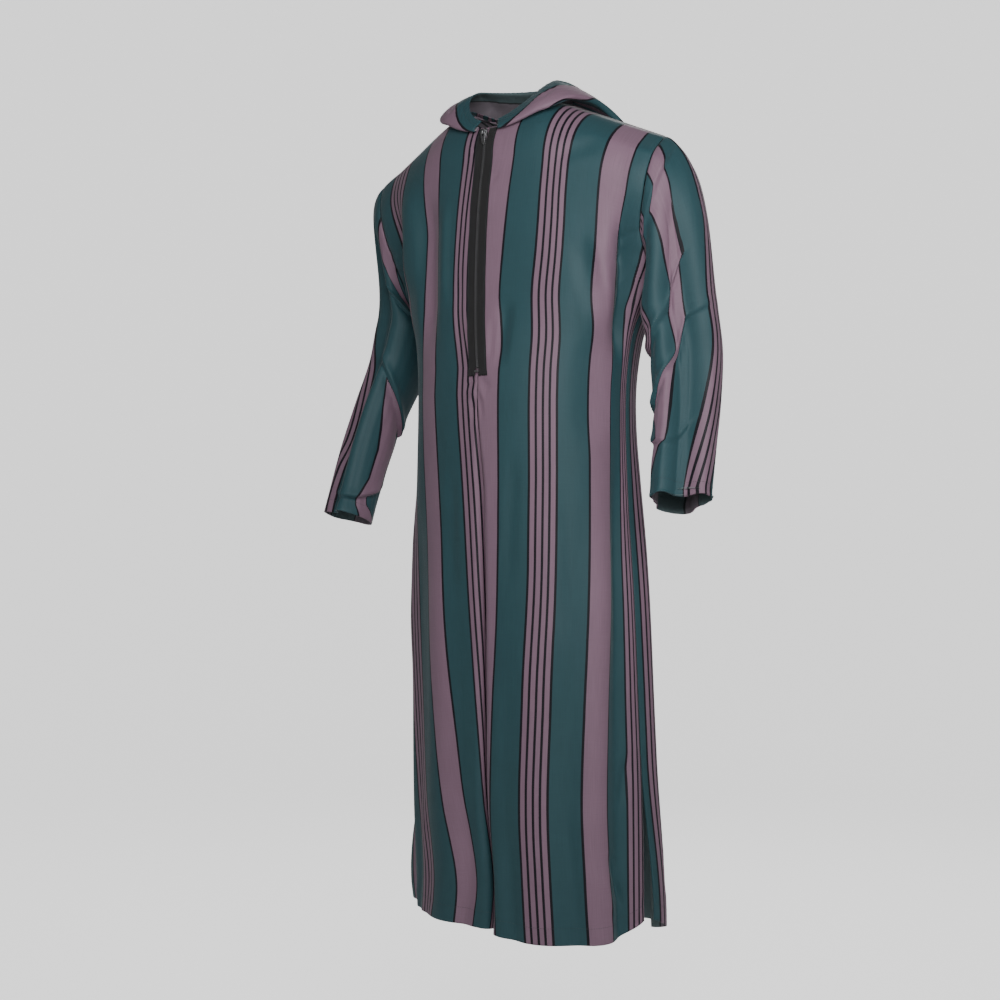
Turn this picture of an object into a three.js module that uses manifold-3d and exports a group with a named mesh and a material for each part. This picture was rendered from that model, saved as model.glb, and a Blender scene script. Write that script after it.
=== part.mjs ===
// Hooded half-zip striped thobe, worn shape, in millimetres, +Z up.
// The front faces -Y and the wearer's left is +X. The origin lies between the shoulders,
// level with the points where the shoulder seams meet the neckline.

import * as THREE from 'three';
import Module from 'manifold-3d';
import { mergeVertices } from 'three/addons/utils/BufferGeometryUtils.js';

// Driving sizes of the garment
const CLOTH_WALL = 1.3;
const SEAM_HALF_GAP = 0.3;
const SHOULDER_HALF_GAP = 0.6;
const GARMENT_LENGTH = 1266;
const NECK_HALF_WIDTH = 85;
const FRONT_NECK_DROP = 42;
const BACK_NECK_DROP = 12;
const SHOULDER_HALF_WIDTH = 250;
const SHOULDER_DROP = 67;
const PANEL_HALF_WIDTH = 310;
const ARMHOLE_DEPTH = 232;
const SHOULDER_FLAT_END = 263;
const SHOULDER_EASE = 150;
const ARMHOLE_HOLLOW = 9;
const ARMHOLE_FLARE_POWER = 5;
const NECK_LINE_Y = -30;
const FRONT_ROUNDING = 90;
const BACK_ROUNDING = 170;
const WIDTH_BLEND_DEPTH = 300;
const SHOULDER_SLOPE_FADE = 700;
const SECTION_POWER = 2.4;
const OUTLINE_STEPS = 96;
const OUTLINE_NORMAL_REACH = 2;

// Body outline by height: half widths on the wearer's left and right, front and back depth
const BODY_SECTIONS = [
  { z: -200, left: 216, right: 214, front: 121, back: 118 },
  { z: -297, left: 213, right: 208, front: 124, back: 118 },
  { z: -370, left: 188, right: 188, front: 133, back: 112 },
  { z: -460, left: 178, right: 180, front: 141, back: 104 },
  { z: -600, left: 182, right: 184, front: 142, back: 106 },
  { z: -765, left: 193, right: 192, front: 143, back: 110 },
  { z: -920, left: 200, right: 194, front: 144, back: 118 },
  { z: -1065, left: 206, right: 194, front: 146, back: 132 },
  { z: -1180, left: 209, right: 190, front: 150, back: 146 },
  { z: -1266, left: 210, right: 184, front: 152, back: 152 },
];

// Fold that runs down the centre front below the zip: how far it wanders to the
// wearer's left, and how much cloth each front tucks into it
const CENTRE_FOLD = [
  { z: -450, shift: 0, tuck: 0 },
  { z: -610, shift: 7, tuck: 7 },
  { z: -765, shift: 11, tuck: 13 },
  { z: -920, shift: 13, tuck: 22 },
  { z: -1065, shift: 17, tuck: 29 },
  { z: -1180, shift: 31, tuck: 35 },
  { z: -1266, shift: 30, tuck: 27 },
];
const FOLD_LIP_RADIUS = 12;
const FOLD_LIP_SHARE = 0.43;
const FOLD_FLOOR_HALF = 3;
const FOLD_FLOOR_TUCK = 6;
const FOLD_LIP_PER_TUCK = 2;
const SIDE_EASE_START = 220;

// How far the hem rises above its lowest level, by flat distance from the centre front
const HEM_RISE = [
  { u: -310, rise: 30 },
  { u: -150, rise: 22 },
  { u: 0, rise: 12 },
  { u: 110, rise: 0 },
  { u: 240, rise: 4 },
  { u: 310, rise: 28 },
];
const HEM_RISE_START = 900;

// Side slits: height above the hem, and how far the front and back edges swing apart
const SLIT_HEIGHT = 265;
const SLIT_FRONT_SWING = 9;
const SLIT_BACK_SWING = 16;
const SLIT_SWING_START = 230;
const SLIT_SWING_BREADTH = 80;

// Soft creases in the panels, each a line from (u1, z1) to (u2, z2) on the cloth.
// Positive depth is a ridge and negative a trough; width is half the crease's breadth.
const CREASE_REACH = 1.5;
const CREASE_TAPER = 3;
const CREASES = [
  { panel: 'front_left', u1: 232, z1: -150, u2: 246, z2: -420, width: 30, depth: -15 },
  { panel: 'front_left', u1: 206, z1: -170, u2: 176, z2: -400, width: 26, depth: 7 },
  { panel: 'front_left', u1: 180, z1: -330, u2: 190, z2: -560, width: 30, depth: -6 },
  { panel: 'front_left', u1: 246, z1: -470, u2: 252, z2: -1266, width: 34, depth: -13 },
  { panel: 'front_left', u1: 212, z1: -560, u2: 214, z2: -1266, width: 30, depth: 7 },
  { panel: 'front_left', u1: 96, z1: -700, u2: 112, z2: -1266, width: 44, depth: 6 },
  { panel: 'front_left', u1: 150, z1: -820, u2: 164, z2: -1266, width: 30, depth: -5 },
  { panel: 'front_left', u1: 42, z1: -300, u2: 36, z2: -420, width: 14, depth: -4 },
  { panel: 'front_right', u1: 118, z1: -110, u2: 104, z2: -400, width: 26, depth: -12 },
  { panel: 'front_right', u1: 160, z1: -90, u2: 186, z2: -300, width: 26, depth: 9 },
  { panel: 'front_right', u1: 200, z1: -120, u2: 236, z2: -360, width: 26, depth: -11 },
  { panel: 'front_right', u1: 150, z1: -520, u2: 196, z2: -1266, width: 36, depth: -9 },
  { panel: 'front_right', u1: 90, z1: -640, u2: 118, z2: -1266, width: 30, depth: 7 },
  { panel: 'front_right', u1: 246, z1: -480, u2: 256, z2: -1266, width: 30, depth: -12 },
  { panel: 'back_left', u1: 60, z1: -420, u2: 82, z2: -1266, width: 40, depth: -15 },
  { panel: 'back_left', u1: 128, z1: -520, u2: 148, z2: -1266, width: 36, depth: 12 },
  { panel: 'back_left', u1: 205, z1: -330, u2: 222, z2: -1266, width: 34, depth: -14 },
  { panel: 'back_left', u1: 268, z1: -420, u2: 276, z2: -1266, width: 26, depth: 9 },
  { panel: 'back_left', u1: 236, z1: -170, u2: 196, z2: -420, width: 30, depth: -12 },
  { panel: 'back_right', u1: 40, z1: -360, u2: 30, z2: -1266, width: 36, depth: 11 },
  { panel: 'back_right', u1: 98, z1: -440, u2: 112, z2: -1266, width: 38, depth: -15 },
  { panel: 'back_right', u1: 170, z1: -560, u2: 184, z2: -1266, width: 34, depth: 11 },
  { panel: 'back_right', u1: 240, z1: -340, u2: 250, z2: -1266, width: 34, depth: -14 },
  { panel: 'back_right', u1: 232, z1: -180, u2: 186, z2: -400, width: 30, depth: -11 },
];

// Rounding of each armhole over the upper arm
const ARM_ROUND = {
  u: 265, h: 85, breadth: 80, height: 110, start: 40, outward: 14, front: 32, back: 24,
};

// Zip: the front edges stand apart behind the tapes, and close at its lower end
const ZIP_LENGTH = 382;
const ZIP_END = FRONT_NECK_DROP + ZIP_LENGTH;
const ZIP_TAPE_WIDTH = 16.6;
const ZIP_TAPE_WALL = 1.0;
const ZIP_CHAIN_WIDTH = 5.6;
const ZIP_CHAIN_HEIGHT = 2.2;
const ZIP_PARTING = 11;
const ZIP_CLOSING_LENGTH = 110;
const ZIP_TAPE_LIFT = 0.6;
const ZIP_CHAIN_TOP = 18;
const ZIP_CHAIN_END = 12;
const ZIP_TAPE_TOP = 1;
const ZIP_STRIP_COLUMNS = [0, 0.34, 0.67, 1];
const ZIP_ROW_GAP = 4;

// Sleeve rings below the armhole: centre, half breadth across the body and half depth
const LEFT_ARM = [
  { x: 268, y: 6, z: -330, across: 59, deep: 66 },
  { x: 278, y: 8, z: -395, across: 56, deep: 63 },
  { x: 286, y: -2, z: -465, across: 51, deep: 57 },
  { x: 293, y: -22, z: -535, across: 48, deep: 52 },
  { x: 302, y: -46, z: -600, across: 46, deep: 48 },
  { x: 305, y: -52, z: -616, across: 46, deep: 48 },
];
const RIGHT_ARM = [
  { x: -256, y: 12, z: -330, across: 50, deep: 64 },
  { x: -267, y: 2, z: -385, across: 46, deep: 61 },
  { x: -282, y: -24, z: -455, across: 41, deep: 56 },
  { x: -292, y: -50, z: -525, across: 39, deep: 51 },
  { x: -299, y: -74, z: -600, across: 38, deep: 47 },
  { x: -302, y: -84, z: -634, across: 38, deep: 47 },
];
const SLEEVE_SIDES = 20;
const SLEEVE_CAP_ROWS = 8;
const SLEEVE_LOWER_ROWS = 11;
const SLEEVE_CREASE_ROWS = 4;
const SLEEVE_DIRECTION_STEP = 0.2;
const CAP_PULL_TOP = 230;
const CAP_PULL_UNDERARM = 70;
const CAP_LEAVE_TOP = { outward: 0.86, down: 0.5 };
const CAP_LEAVE_UNDERARM = { outward: 0.62, down: 0.78 };
const SLEEVE_SEAM_GAP = 1.0;

// Creases in the sleeves, each a line from (a1, z1) to (a2, z2); a is the angle in degrees
// from the outer side, 90 at the front, 180 at the inner side and 270 at the back
const SLEEVE_CREASES = [
  { arm: 'left', a1: 20, z1: -190, a2: 100, z2: -350, width: 17, depth: -9 },
  { arm: 'left', a1: 10, z1: -290, a2: 95, z2: -405, width: 15, depth: -8 },
  { arm: 'left', a1: 5, z1: -400, a2: 105, z2: -500, width: 16, depth: -8 },
  { arm: 'left', a1: 130, z1: -290, a2: 190, z2: -420, width: 18, depth: -8 },
  { arm: 'left', a1: 350, z1: -360, a2: 250, z2: -450, width: 18, depth: -9 },
  { arm: 'left', a1: 340, z1: -250, a2: 240, z2: -340, width: 18, depth: -8 },
  { arm: 'right', a1: 30, z1: -230, a2: 110, z2: -370, width: 17, depth: -8 },
  { arm: 'right', a1: 20, z1: -370, a2: 110, z2: -470, width: 16, depth: -8 },
  { arm: 'right', a1: 40, z1: -560, a2: 120, z2: -600, width: 14, depth: -6 },
  { arm: 'right', a1: 350, z1: -340, a2: 250, z2: -430, width: 18, depth: -9 },
  { arm: 'right', a1: 340, z1: -440, a2: 240, z2: -520, width: 16, depth: -7 },
];

// Hood, thrown back: reach of its fold from the neck seam, height of its opening edge and
// fullness between its two layers, by angle round the neck from the centre front
const HOOD_PROFILE = [
  { angle: 0, reach: 6, rim: -33, fullness: 5 },
  { angle: 20, reach: 7, rim: -27, fullness: 6 },
  { angle: 45, reach: 9, rim: -6, fullness: 8 },
  { angle: 70, reach: 18, rim: 20, fullness: 10 },
  { angle: 90, reach: 30, rim: 33, fullness: 12 },
  { angle: 110, reach: 62, rim: 37, fullness: 15 },
  { angle: 130, reach: 128, rim: 39, fullness: 18 },
  { angle: 155, reach: 215, rim: 40, fullness: 20 },
  { angle: 180, reach: 252, rim: 40, fullness: 22 },
];
const HOOD_RIM_HALF_WIDTH = 73;
const HOOD_RIM_HALF_DEPTH = 71;
const HOOD_RIM_CENTRE_Y = -38;
const HOOD_FIRST_ANGLE = 13;
const HOOD_SIDES = 26;
const HOOD_ROW_POWER = 1.6;
const HOOD_RISE_POWER = 1.6;
const HOOD_UNDER_ROWS = 6;
const HOOD_TURN_ROWS = 4;
const HOOD_OUTER_ROWS = 8;
const HOOD_SEAM_LIFT = 0.7;
const HOOD_LIFT = 7;
const HOOD_SHOULDER_LIFT = 4;
const HOOD_LIFT_REACH = 36;
const HOOD_BULGE = 10;
const HOOD_NORMAL_STEP = 2;
const HOOD_UPWARD_SHARE = 2;

// Zip hardware: slider plate with a bridge, pull tab hung in the bridge, and bottom stop
const SLIDER = { below: 4, width: 8.4, height: 12, thickness: 3.2 };
const BRIDGE = { width: 3, height: 7, depth: 7, hole: 3.4, wall: 1.8, root: 1, chamfer: 2 };
const PULL_TAB = {
  width: 8, foot: 5, length: 19, thickness: 1.4, bar: 1.6, eye: 4.4, eyeHeight: 5, shoulder: 1,
};
const STOP = { width: 7, height: 3.2, depth: 1.6, above: 7 };
const PART_GAP = 0.35;
const MERGE_TOLERANCE = 1e-4;

// Panel grid lines, as flat distances from the centre front and as depths below the shoulder
const FRONT_COLUMNS = [0, 3.4, 12, 22, 33, 44, 54, 76, 104, 134, 164, 194, 222, 250, 281, 310];
const BACK_COLUMNS = [0, 30, 58, 82, 100.2, 126, 154, 182, 210, 238, 264, 288, 310];
const NECK_ROWS = 5;
const NECK_ROW_GAP = 8;
const ARMHOLE_ROWS = [62, 88, 116, 144, 172, 196, 216, ARMHOLE_DEPTH];
const SKIRT_ROWS = [290, 350, 410, 470, 530, 600, 680, 765, 850, 930, 1001, 1070, 1140, 1205];
const BACK_ROWS = [0, 8, 22, 40, ...ARMHOLE_ROWS, ...SKIRT_ROWS, GARMENT_LENGTH];
const BACK_DIP_FADE = 116;
const BACK_CENTRE_BLEND = 60;
const ARMHOLE_EDGE_ROWS = BACK_ROWS.filter((h) => h <= ARMHOLE_DEPTH);

const MATERIALS = {
  green: { color: 0x3c5d62, roughness: 0.72, metalness: 0 },
  tape: { color: 0x2a292b, roughness: 0.85, metalness: 0 },
  metal: { color: 0x6a6a6e, roughness: 0.4, metalness: 0.9 },
};

const clamp01 = (t) => Math.min(1, Math.max(0, t));
const mix = (a, b, t) => a + (b - a) * t;
const radians = (degrees) => (degrees * Math.PI) / 180;

function smooth(t) {
  const c = clamp01(t);
  return c * c * (3 - 2 * c);
}

// Smooth reading of one column of a table, by its key column in either direction
function read(rows, key, column, value) {
  const rising = rows[rows.length - 1][key] > rows[0][key] ? 1 : -1;
  const last = rows.length - 1;
  if ((value - rows[0][key]) * rising <= 0) return rows[0][column];
  if ((value - rows[last][key]) * rising >= 0) return rows[last][column];
  let i = 0;
  while ((value - rows[i + 1][key]) * rising > 0) i += 1;
  const slope = (a, b) => (rows[b][column] - rows[a][column]) / (rows[b][key] - rows[a][key]);
  const span = rows[i + 1][key] - rows[i][key];
  const t = (value - rows[i][key]) / span;
  const startSlope = i > 0 ? slope(i - 1, i + 1) : slope(0, 1);
  const endSlope = i + 1 < last ? slope(i, i + 2) : slope(last - 1, last);
  const t2 = t * t;
  const t3 = t2 * t;
  return (2 * t3 - 3 * t2 + 1) * rows[i][column] + (t3 - 2 * t2 + t) * span * startSlope
    + (3 * t2 - 2 * t3) * rows[i + 1][column] + (t3 - t2) * span * endSlope;
}

// Half outline of the body at one height, from the centre front round to the centre back
function outline(z, side) {
  const halfWidth = read(BODY_SECTIONS, 'z', side > 0 ? 'left' : 'right', z);
  const front = read(BODY_SECTIONS, 'z', 'front', z);
  const back = read(BODY_SECTIONS, 'z', 'back', z);
  const points = [];
  let length = 0;
  let sideLength = 0;
  for (let i = 0; i <= OUTLINE_STEPS; i += 1) {
    const angle = (Math.PI * i) / OUTLINE_STEPS;
    const depth = angle < Math.PI / 2 ? front : back;
    const x = halfWidth * Math.abs(Math.sin(angle)) ** (2 / SECTION_POWER);
    const y = -Math.sign(Math.cos(angle)) * depth * Math.abs(Math.cos(angle)) ** (2 / SECTION_POWER);
    if (i > 0) length += Math.hypot(x - points[i - 1].x, y - points[i - 1].y);
    if (i === OUTLINE_STEPS / 2) sideLength = length;
    points.push({ x, y, s: length });
  }
  return { points, length, sideLength };
}

// Place on an outline at the distance s from the centre front, with its outward normal
function alongOutline(shape, s) {
  const { points } = shape;
  const mirrored = s < 0 ? -1 : 1;
  const distance = Math.min(Math.abs(s), shape.length);
  let i = 0;
  while (i < points.length - 2 && points[i + 1].s < distance) i += 1;
  const t = (distance - points[i].s) / (points[i + 1].s - points[i].s);
  const before = points[Math.max(0, i - OUTLINE_NORMAL_REACH)];
  const after = points[Math.min(points.length - 1, i + 1 + OUTLINE_NORMAL_REACH)];
  const dx = after.x - before.x;
  const dy = after.y - before.y;
  const size = Math.hypot(dx, dy);
  return {
    x: mirrored * mix(points[i].x, points[i + 1].x, t),
    y: mix(points[i].y, points[i + 1].y, t),
    nx: (mirrored * dy) / size,
    ny: -dx / size,
  };
}

// Cloth in the centre fold: distance along the outline and depth behind it
function centreFold(u, tuck) {
  const lip = Math.min(FOLD_LIP_RADIUS, tuck * FOLD_LIP_PER_TUCK);
  const depth = tuck + FOLD_LIP_SHARE * lip;
  const floor = FOLD_FLOOR_HALF * clamp01(tuck / FOLD_FLOOR_TUCK);
  const wall = depth - lip;
  const onLip = u - floor - wall;
  if (tuck <= 0) return { s: u, inward: 0 };
  if (u <= floor) return { s: u, inward: depth };
  if (onLip <= 0) return { s: floor, inward: depth - (u - floor) };
  const turn = onLip / lip;
  if (turn >= Math.PI / 2) return { s: floor + lip + onLip - (lip * Math.PI) / 2, inward: 0 };
  return { s: floor + lip * (1 - Math.cos(turn)), inward: lip * (1 - Math.sin(turn)) };
}

function creaseDepth(creases, u, z) {
  let total = 0;
  for (const crease of creases) {
    const du = crease.u2 - crease.u1;
    const dz = crease.z2 - crease.z1;
    const along = clamp01(((u - crease.u1) * du + (z - crease.z1) * dz) / (du * du + dz * dz));
    const away = Math.hypot(u - crease.u1 - du * along, z - crease.z1 - dz * along);
    const end = crease.z2 <= -GARMENT_LENGTH ? 1 : smooth((1 - along) * CREASE_TAPER);
    const taper = smooth(along * CREASE_TAPER) * end;
    total += crease.depth * taper * (1 - smooth(away / (crease.width * CREASE_REACH)));
  }
  return total;
}

const creasesOf = (panel) => CREASES.filter((crease) => crease.panel === panel);

const shoulderFall = (u) => (SHOULDER_DROP * Math.max(0, u - NECK_HALF_WIDTH))
  / (SHOULDER_FLAT_END - NECK_HALF_WIDTH);

function shoulderX(u) {
  const share = (SHOULDER_HALF_WIDTH - NECK_HALF_WIDTH) / (SHOULDER_FLAT_END - NECK_HALF_WIDTH);
  return u <= NECK_HALF_WIDTH ? u : NECK_HALF_WIDTH + (u - NECK_HALF_WIDTH) * share;
}

const shoulderY = (u) => NECK_LINE_Y * (1 - smooth((u - NECK_HALF_WIDTH) / SHOULDER_EASE));

// Height of a cloth point: u is its flat distance from the centre, h its depth below
// the shoulder seam
function clothHeight(side, u, h) {
  const slope = shoulderFall(u) * (1 - smooth(h / SHOULDER_SLOPE_FADE));
  const rise = read(HEM_RISE, 'u', 'rise', side * u);
  const hemShare = smooth((h - HEM_RISE_START) / (GARMENT_LENGTH - HEM_RISE_START));
  return -h - slope + rise * hemShare;
}

const zipParting = (h) => ZIP_PARTING * smooth((ZIP_END - h) / ZIP_CLOSING_LENGTH);

// Distance round the outline of the side seam, from the centre front
function sideSeamDistance(side, shape, z) {
  const shift = read(CENTRE_FOLD, 'z', 'shift', z);
  const tuck = read(CENTRE_FOLD, 'z', 'tuck', z);
  const eased = SIDE_EASE_START + side * shift - tuck;
  return Math.min(shape.sideLength, eased + (PANEL_HALF_WIDTH - SIDE_EASE_START));
}

// Place on the outline of a cloth point of a front, and its depth in the centre fold
function frontDistance(side, u, h, z, shape) {
  const shift = read(CENTRE_FOLD, 'z', 'shift', z);
  const tuck = read(CENTRE_FOLD, 'z', 'tuck', z);
  const seam = sideSeamDistance(side, shape, z) - SEAM_HALF_GAP;
  const parted = (v) => v + zipParting(h) * (1 - v / PANEL_HALF_WIDTH);
  const place = (v) => {
    const fold = centreFold(Math.max(v, SEAM_HALF_GAP), tuck);
    return { s: parted(fold.s) + side * shift, inward: fold.inward };
  };
  if (u <= SIDE_EASE_START) return place(u);
  const start = place(SIDE_EASE_START).s;
  const share = (u - SIDE_EASE_START) / (PANEL_HALF_WIDTH - SIDE_EASE_START);
  return { s: mix(start, seam, share), inward: 0 };
}

// Swing of a slit's edge away from the body, growing from the slit's top to the hem
function slitSwing(u, h, amount) {
  const down = smooth((h - (GARMENT_LENGTH - SLIT_HEIGHT)) / SLIT_HEIGHT);
  return amount * down * smooth((u - SLIT_SWING_START) / SLIT_SWING_BREADTH);
}

// Point of the body cloth: panel is 'front' or 'back', side 1 is the wearer's left
function bodyPoint(panel, side, u, h, creases = []) {
  const z = clothHeight(side, u, h);
  const shape = outline(z, side);
  const isFront = panel === 'front';
  let place;
  let inward = 0;
  if (isFront) {
    const cloth = frontDistance(side, u, h, z, shape);
    place = alongOutline(shape, cloth.s);
    inward = cloth.inward;
  } else {
    const seam = sideSeamDistance(side, shape, z);
    const backWidth = shape.length - seam - SEAM_HALF_GAP;
    place = alongOutline(shape, shape.length - (u / PANEL_HALF_WIDTH) * backWidth);
  }
  const rounding = isFront ? FRONT_ROUNDING : BACK_ROUNDING;
  const forward = Math.sqrt(1 - (1 - clamp01(h / rounding)) ** 2);
  const swing = slitSwing(u, h, isFront ? SLIT_FRONT_SWING : SLIT_BACK_SWING);
  const offset = (creaseDepth(creases, u, z) - inward) * forward + swing;
  const edgeY = shoulderY(u) + (isFront ? -1 : 1) * SHOULDER_HALF_GAP;
  const armShare = Math.exp(-(((u - ARM_ROUND.u) / ARM_ROUND.breadth) ** 2))
    * Math.exp(-(((h - ARM_ROUND.h) / ARM_ROUND.height) ** 2)) * smooth(h / ARM_ROUND.start);
  const blend = smooth(h / WIDTH_BLEND_DEPTH);
  const x = mix(shoulderX(u), place.x, blend) + place.nx * offset + ARM_ROUND.outward * armShare;
  const armDepth = isFront ? -ARM_ROUND.front : ARM_ROUND.back;
  const y = mix(edgeY, place.y, forward) + place.ny * offset + armDepth * armShare;
  return new THREE.Vector3(side * x, y, z);
}

const neckEdge = (h, drop) => (h < drop ? NECK_HALF_WIDTH * Math.sqrt(1 - (h / drop) ** 2) : 0);

function armholeEdge(h) {
  const share = clamp01(h / ARMHOLE_DEPTH);
  const flare = (PANEL_HALF_WIDTH - SHOULDER_FLAT_END) * share ** ARMHOLE_FLARE_POWER;
  return SHOULDER_FLAT_END - ARMHOLE_HOLLOW * Math.sin(Math.PI * share) + flare;
}

function panelRows(neckDrop) {
  const rows = [];
  for (let i = 0; i <= NECK_ROWS; i += 1) {
    rows.push(neckDrop * Math.sin((Math.PI / 2) * (i / NECK_ROWS)));
  }
  const lower = [...ARMHOLE_ROWS, ...SKIRT_ROWS, GARMENT_LENGTH];
  return [...rows, ...lower.filter((h) => h > neckDrop + NECK_ROW_GAP)];
}

function frontGrid(side) {
  const creases = creasesOf(side > 0 ? 'front_left' : 'front_right');
  return panelRows(FRONT_NECK_DROP).map((h) => {
    const inner = neckEdge(h, FRONT_NECK_DROP);
    const outer = armholeEdge(h);
    return FRONT_COLUMNS.map((c) => {
      const u = mix(inner, outer, c / PANEL_HALF_WIDTH);
      return bodyPoint('front', side, u, h, creases);
    });
  });
}

// The back is one panel whose upper edge dips along the neckline
function backPoint(side, c, row) {
  const edge = (armholeEdge(row) * c) / PANEL_HALF_WIDTH;
  const u = Math.min(edge, PANEL_HALF_WIDTH);
  const dip = u < NECK_HALF_WIDTH ? BACK_NECK_DROP * Math.sqrt(1 - (u / NECK_HALF_WIDTH) ** 2) : 0;
  const h = row + dip * (1 - smooth(row / BACK_DIP_FADE));
  const point = (sign, name) => bodyPoint('back', sign, u, h, creasesOf(name));
  const left = point(1, 'back_left');
  const right = point(-1, 'back_right');
  const own = side > 0 ? left : right;
  const other = side > 0 ? right : left;
  other.x = -other.x;
  return own.lerp(other, 0.5 * (1 - smooth(u / BACK_CENTRE_BLEND)));
}

function backGrid() {
  return BACK_ROWS.map((row) => [
    ...BACK_COLUMNS.slice().reverse().map((c) => backPoint(1, c, row)),
    ...BACK_COLUMNS.slice(1).map((c) => backPoint(-1, c, row)),
  ]);
}

// Normal of a grid of points, for each point; a wrapped grid closes on itself
function gridNormals(grid, wrapped) {
  const rows = grid.length;
  const columns = grid[0].length;
  return grid.map((row, j) => row.map((point, i) => {
    const up = grid[Math.max(0, j - 1)][i];
    const down = grid[Math.min(rows - 1, j + 1)][i];
    const before = wrapped ? row[(i + columns - 1) % columns] : row[Math.max(0, i - 1)];
    const after = wrapped ? row[(i + 1) % columns] : row[Math.min(columns - 1, i + 1)];
    const across = new THREE.Vector3().subVectors(after, before);
    const along = new THREE.Vector3().subVectors(down, up);
    return new THREE.Vector3().crossVectors(along, across).normalize();
  }));
}

function solidGeometry(points, faces) {
  const volume = faces.reduce((sum, [a, b, c]) => sum
    + points[a].dot(new THREE.Vector3().crossVectors(points[b], points[c])), 0);
  const ordered = volume < 0 ? faces.map(([a, b, c]) => [a, c, b]) : faces;
  const geometry = new THREE.BufferGeometry();
  const flat = points.flatMap((p) => [p.x, p.y, p.z]);
  geometry.setAttribute('position', new THREE.Float32BufferAttribute(flat, 3));
  geometry.setIndex(ordered.flat());
  geometry.computeVertexNormals();
  return geometry;
}

// Closed wall between two grids of points. Both sides split their quads along the same
// diagonal, so the wall keeps its thickness where the cloth twists.
function wallBetween(grid, other, wrapped) {
  const rows = grid.length;
  const columns = grid[0].length;
  const points = [...grid.flat(), ...other.flat()];
  const back = rows * columns;
  const at = (j, i) => j * columns + (wrapped ? i % columns : i);
  const faces = [];
  const quad = (a, b, c, d) => faces.push([a, b, c], [a, c, d]);
  const spans = wrapped ? columns : columns - 1;
  for (let j = 0; j < rows - 1; j += 1) {
    for (let i = 0; i < spans; i += 1) {
      quad(at(j, i), at(j + 1, i), at(j + 1, i + 1), at(j, i + 1));
      quad(back + at(j, i), back + at(j, i + 1), back + at(j + 1, i + 1), back + at(j + 1, i));
    }
    if (!wrapped) {
      quad(back + at(j, 0), back + at(j + 1, 0), at(j + 1, 0), at(j, 0));
      const e = columns - 1;
      quad(at(j, e), at(j + 1, e), back + at(j + 1, e), back + at(j, e));
    }
  }
  for (let i = 0; i < spans; i += 1) {
    const e = rows - 1;
    quad(at(0, i), at(0, i + 1), back + at(0, i + 1), back + at(0, i));
    quad(at(e, i + 1), at(e, i), back + at(e, i), back + at(e, i + 1));
  }
  return solidGeometry(points, faces);
}

function shiftGrid(grid, normals, distance) {
  return grid.map((row, j) => row.map((p, i) => p.clone().addScaledVector(normals[j][i], distance)));
}

// Cloth wall whose outer face is the grid; inward is 1 where the grid's normals point to the
// cloth's inner side and -1 where they point away from it
function clothWall(grid, wrapped, inward) {
  const normals = gridNormals(grid, wrapped);
  return wallBetween(grid, shiftGrid(grid, normals, inward * CLOTH_WALL), wrapped);
}

// Front surface beside the centre line, at the distance s from it and the depth h
function frontSurface(side, s, h) {
  const z = clothHeight(side, s, h);
  const place = alongOutline(outline(z, side), s);
  const forward = Math.sqrt(1 - (1 - clamp01(h / FRONT_ROUNDING)) ** 2);
  return new THREE.Vector3(side * s, mix(NECK_LINE_Y - SHOULDER_HALF_GAP, place.y, forward), z);
}

// Strip of the zip: the front's points beside the centre, moved out, between two depths
function zipStrip(side, from, to, top, bottom, lift) {
  const isBetween = (h) => h > top + ZIP_ROW_GAP && h < bottom - ZIP_ROW_GAP;
  const rows = [top, ...panelRows(FRONT_NECK_DROP).filter(isBetween), bottom];
  return rows.map((h) => ZIP_STRIP_COLUMNS.map((t) => {
    const point = frontSurface(side, mix(from, to, t), h);
    point.y -= lift;
    return point;
  }));
}

function tape(side) {
  const inner = ZIP_CHAIN_WIDTH / 2 + PART_GAP;
  const top = FRONT_NECK_DROP + ZIP_TAPE_TOP;
  const strip = (lift) => zipStrip(side, inner, ZIP_TAPE_WIDTH, top, ZIP_END, lift);
  return wallBetween(strip(ZIP_TAPE_LIFT), strip(ZIP_TAPE_LIFT + ZIP_TAPE_WALL), false);
}

function chain() {
  const top = FRONT_NECK_DROP + ZIP_CHAIN_TOP;
  const half = ZIP_CHAIN_WIDTH / 2;
  const level = (lift) => {
    const right = zipStrip(-1, 0, half, top, ZIP_END - ZIP_CHAIN_END, lift);
    const left = zipStrip(1, 0, half, top, ZIP_END - ZIP_CHAIN_END, lift);
    return left.map((row, j) => [...right[j].slice(1).reverse(), ...row]);
  };
  return wallBetween(level(ZIP_TAPE_LIFT), level(ZIP_TAPE_LIFT + ZIP_CHAIN_HEIGHT), false);
}

// Armhole edge of one side as a closed loop: shoulder, front, armpit, back
function armholeLoop(side) {
  const edge = (panel) => {
    const creases = creasesOf(`${panel}_${side > 0 ? 'left' : 'right'}`);
    return ARMHOLE_EDGE_ROWS.map((h) => bodyPoint(panel, side, armholeEdge(h), h, creases));
  };
  return [...edge('front'), ...edge('back').reverse()];
}

// Evenly spaced points on each half of a loop whose halves meet at its lowest point
function resampleLoop(loop, count) {
  const half = loop.length / 2;
  const spread = (points, n) => {
    const lengths = [0];
    for (let i = 1; i < points.length; i += 1) {
      lengths.push(lengths[i - 1] + points[i].distanceTo(points[i - 1]));
    }
    const total = lengths[lengths.length - 1];
    const result = [];
    for (let k = 0; k < n; k += 1) {
      const target = (total * k) / n;
      let i = 0;
      while (lengths[i + 1] < target) i += 1;
      const t = (target - lengths[i]) / (lengths[i + 1] - lengths[i]);
      result.push(points[i].clone().lerp(points[i + 1], t));
    }
    return result;
  };
  const front = loop.slice(0, half);
  const back = loop.slice(half);
  return [...spread([...front, back[0]], count / 2), ...spread([...back, front[0]], count / 2)];
}

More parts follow.
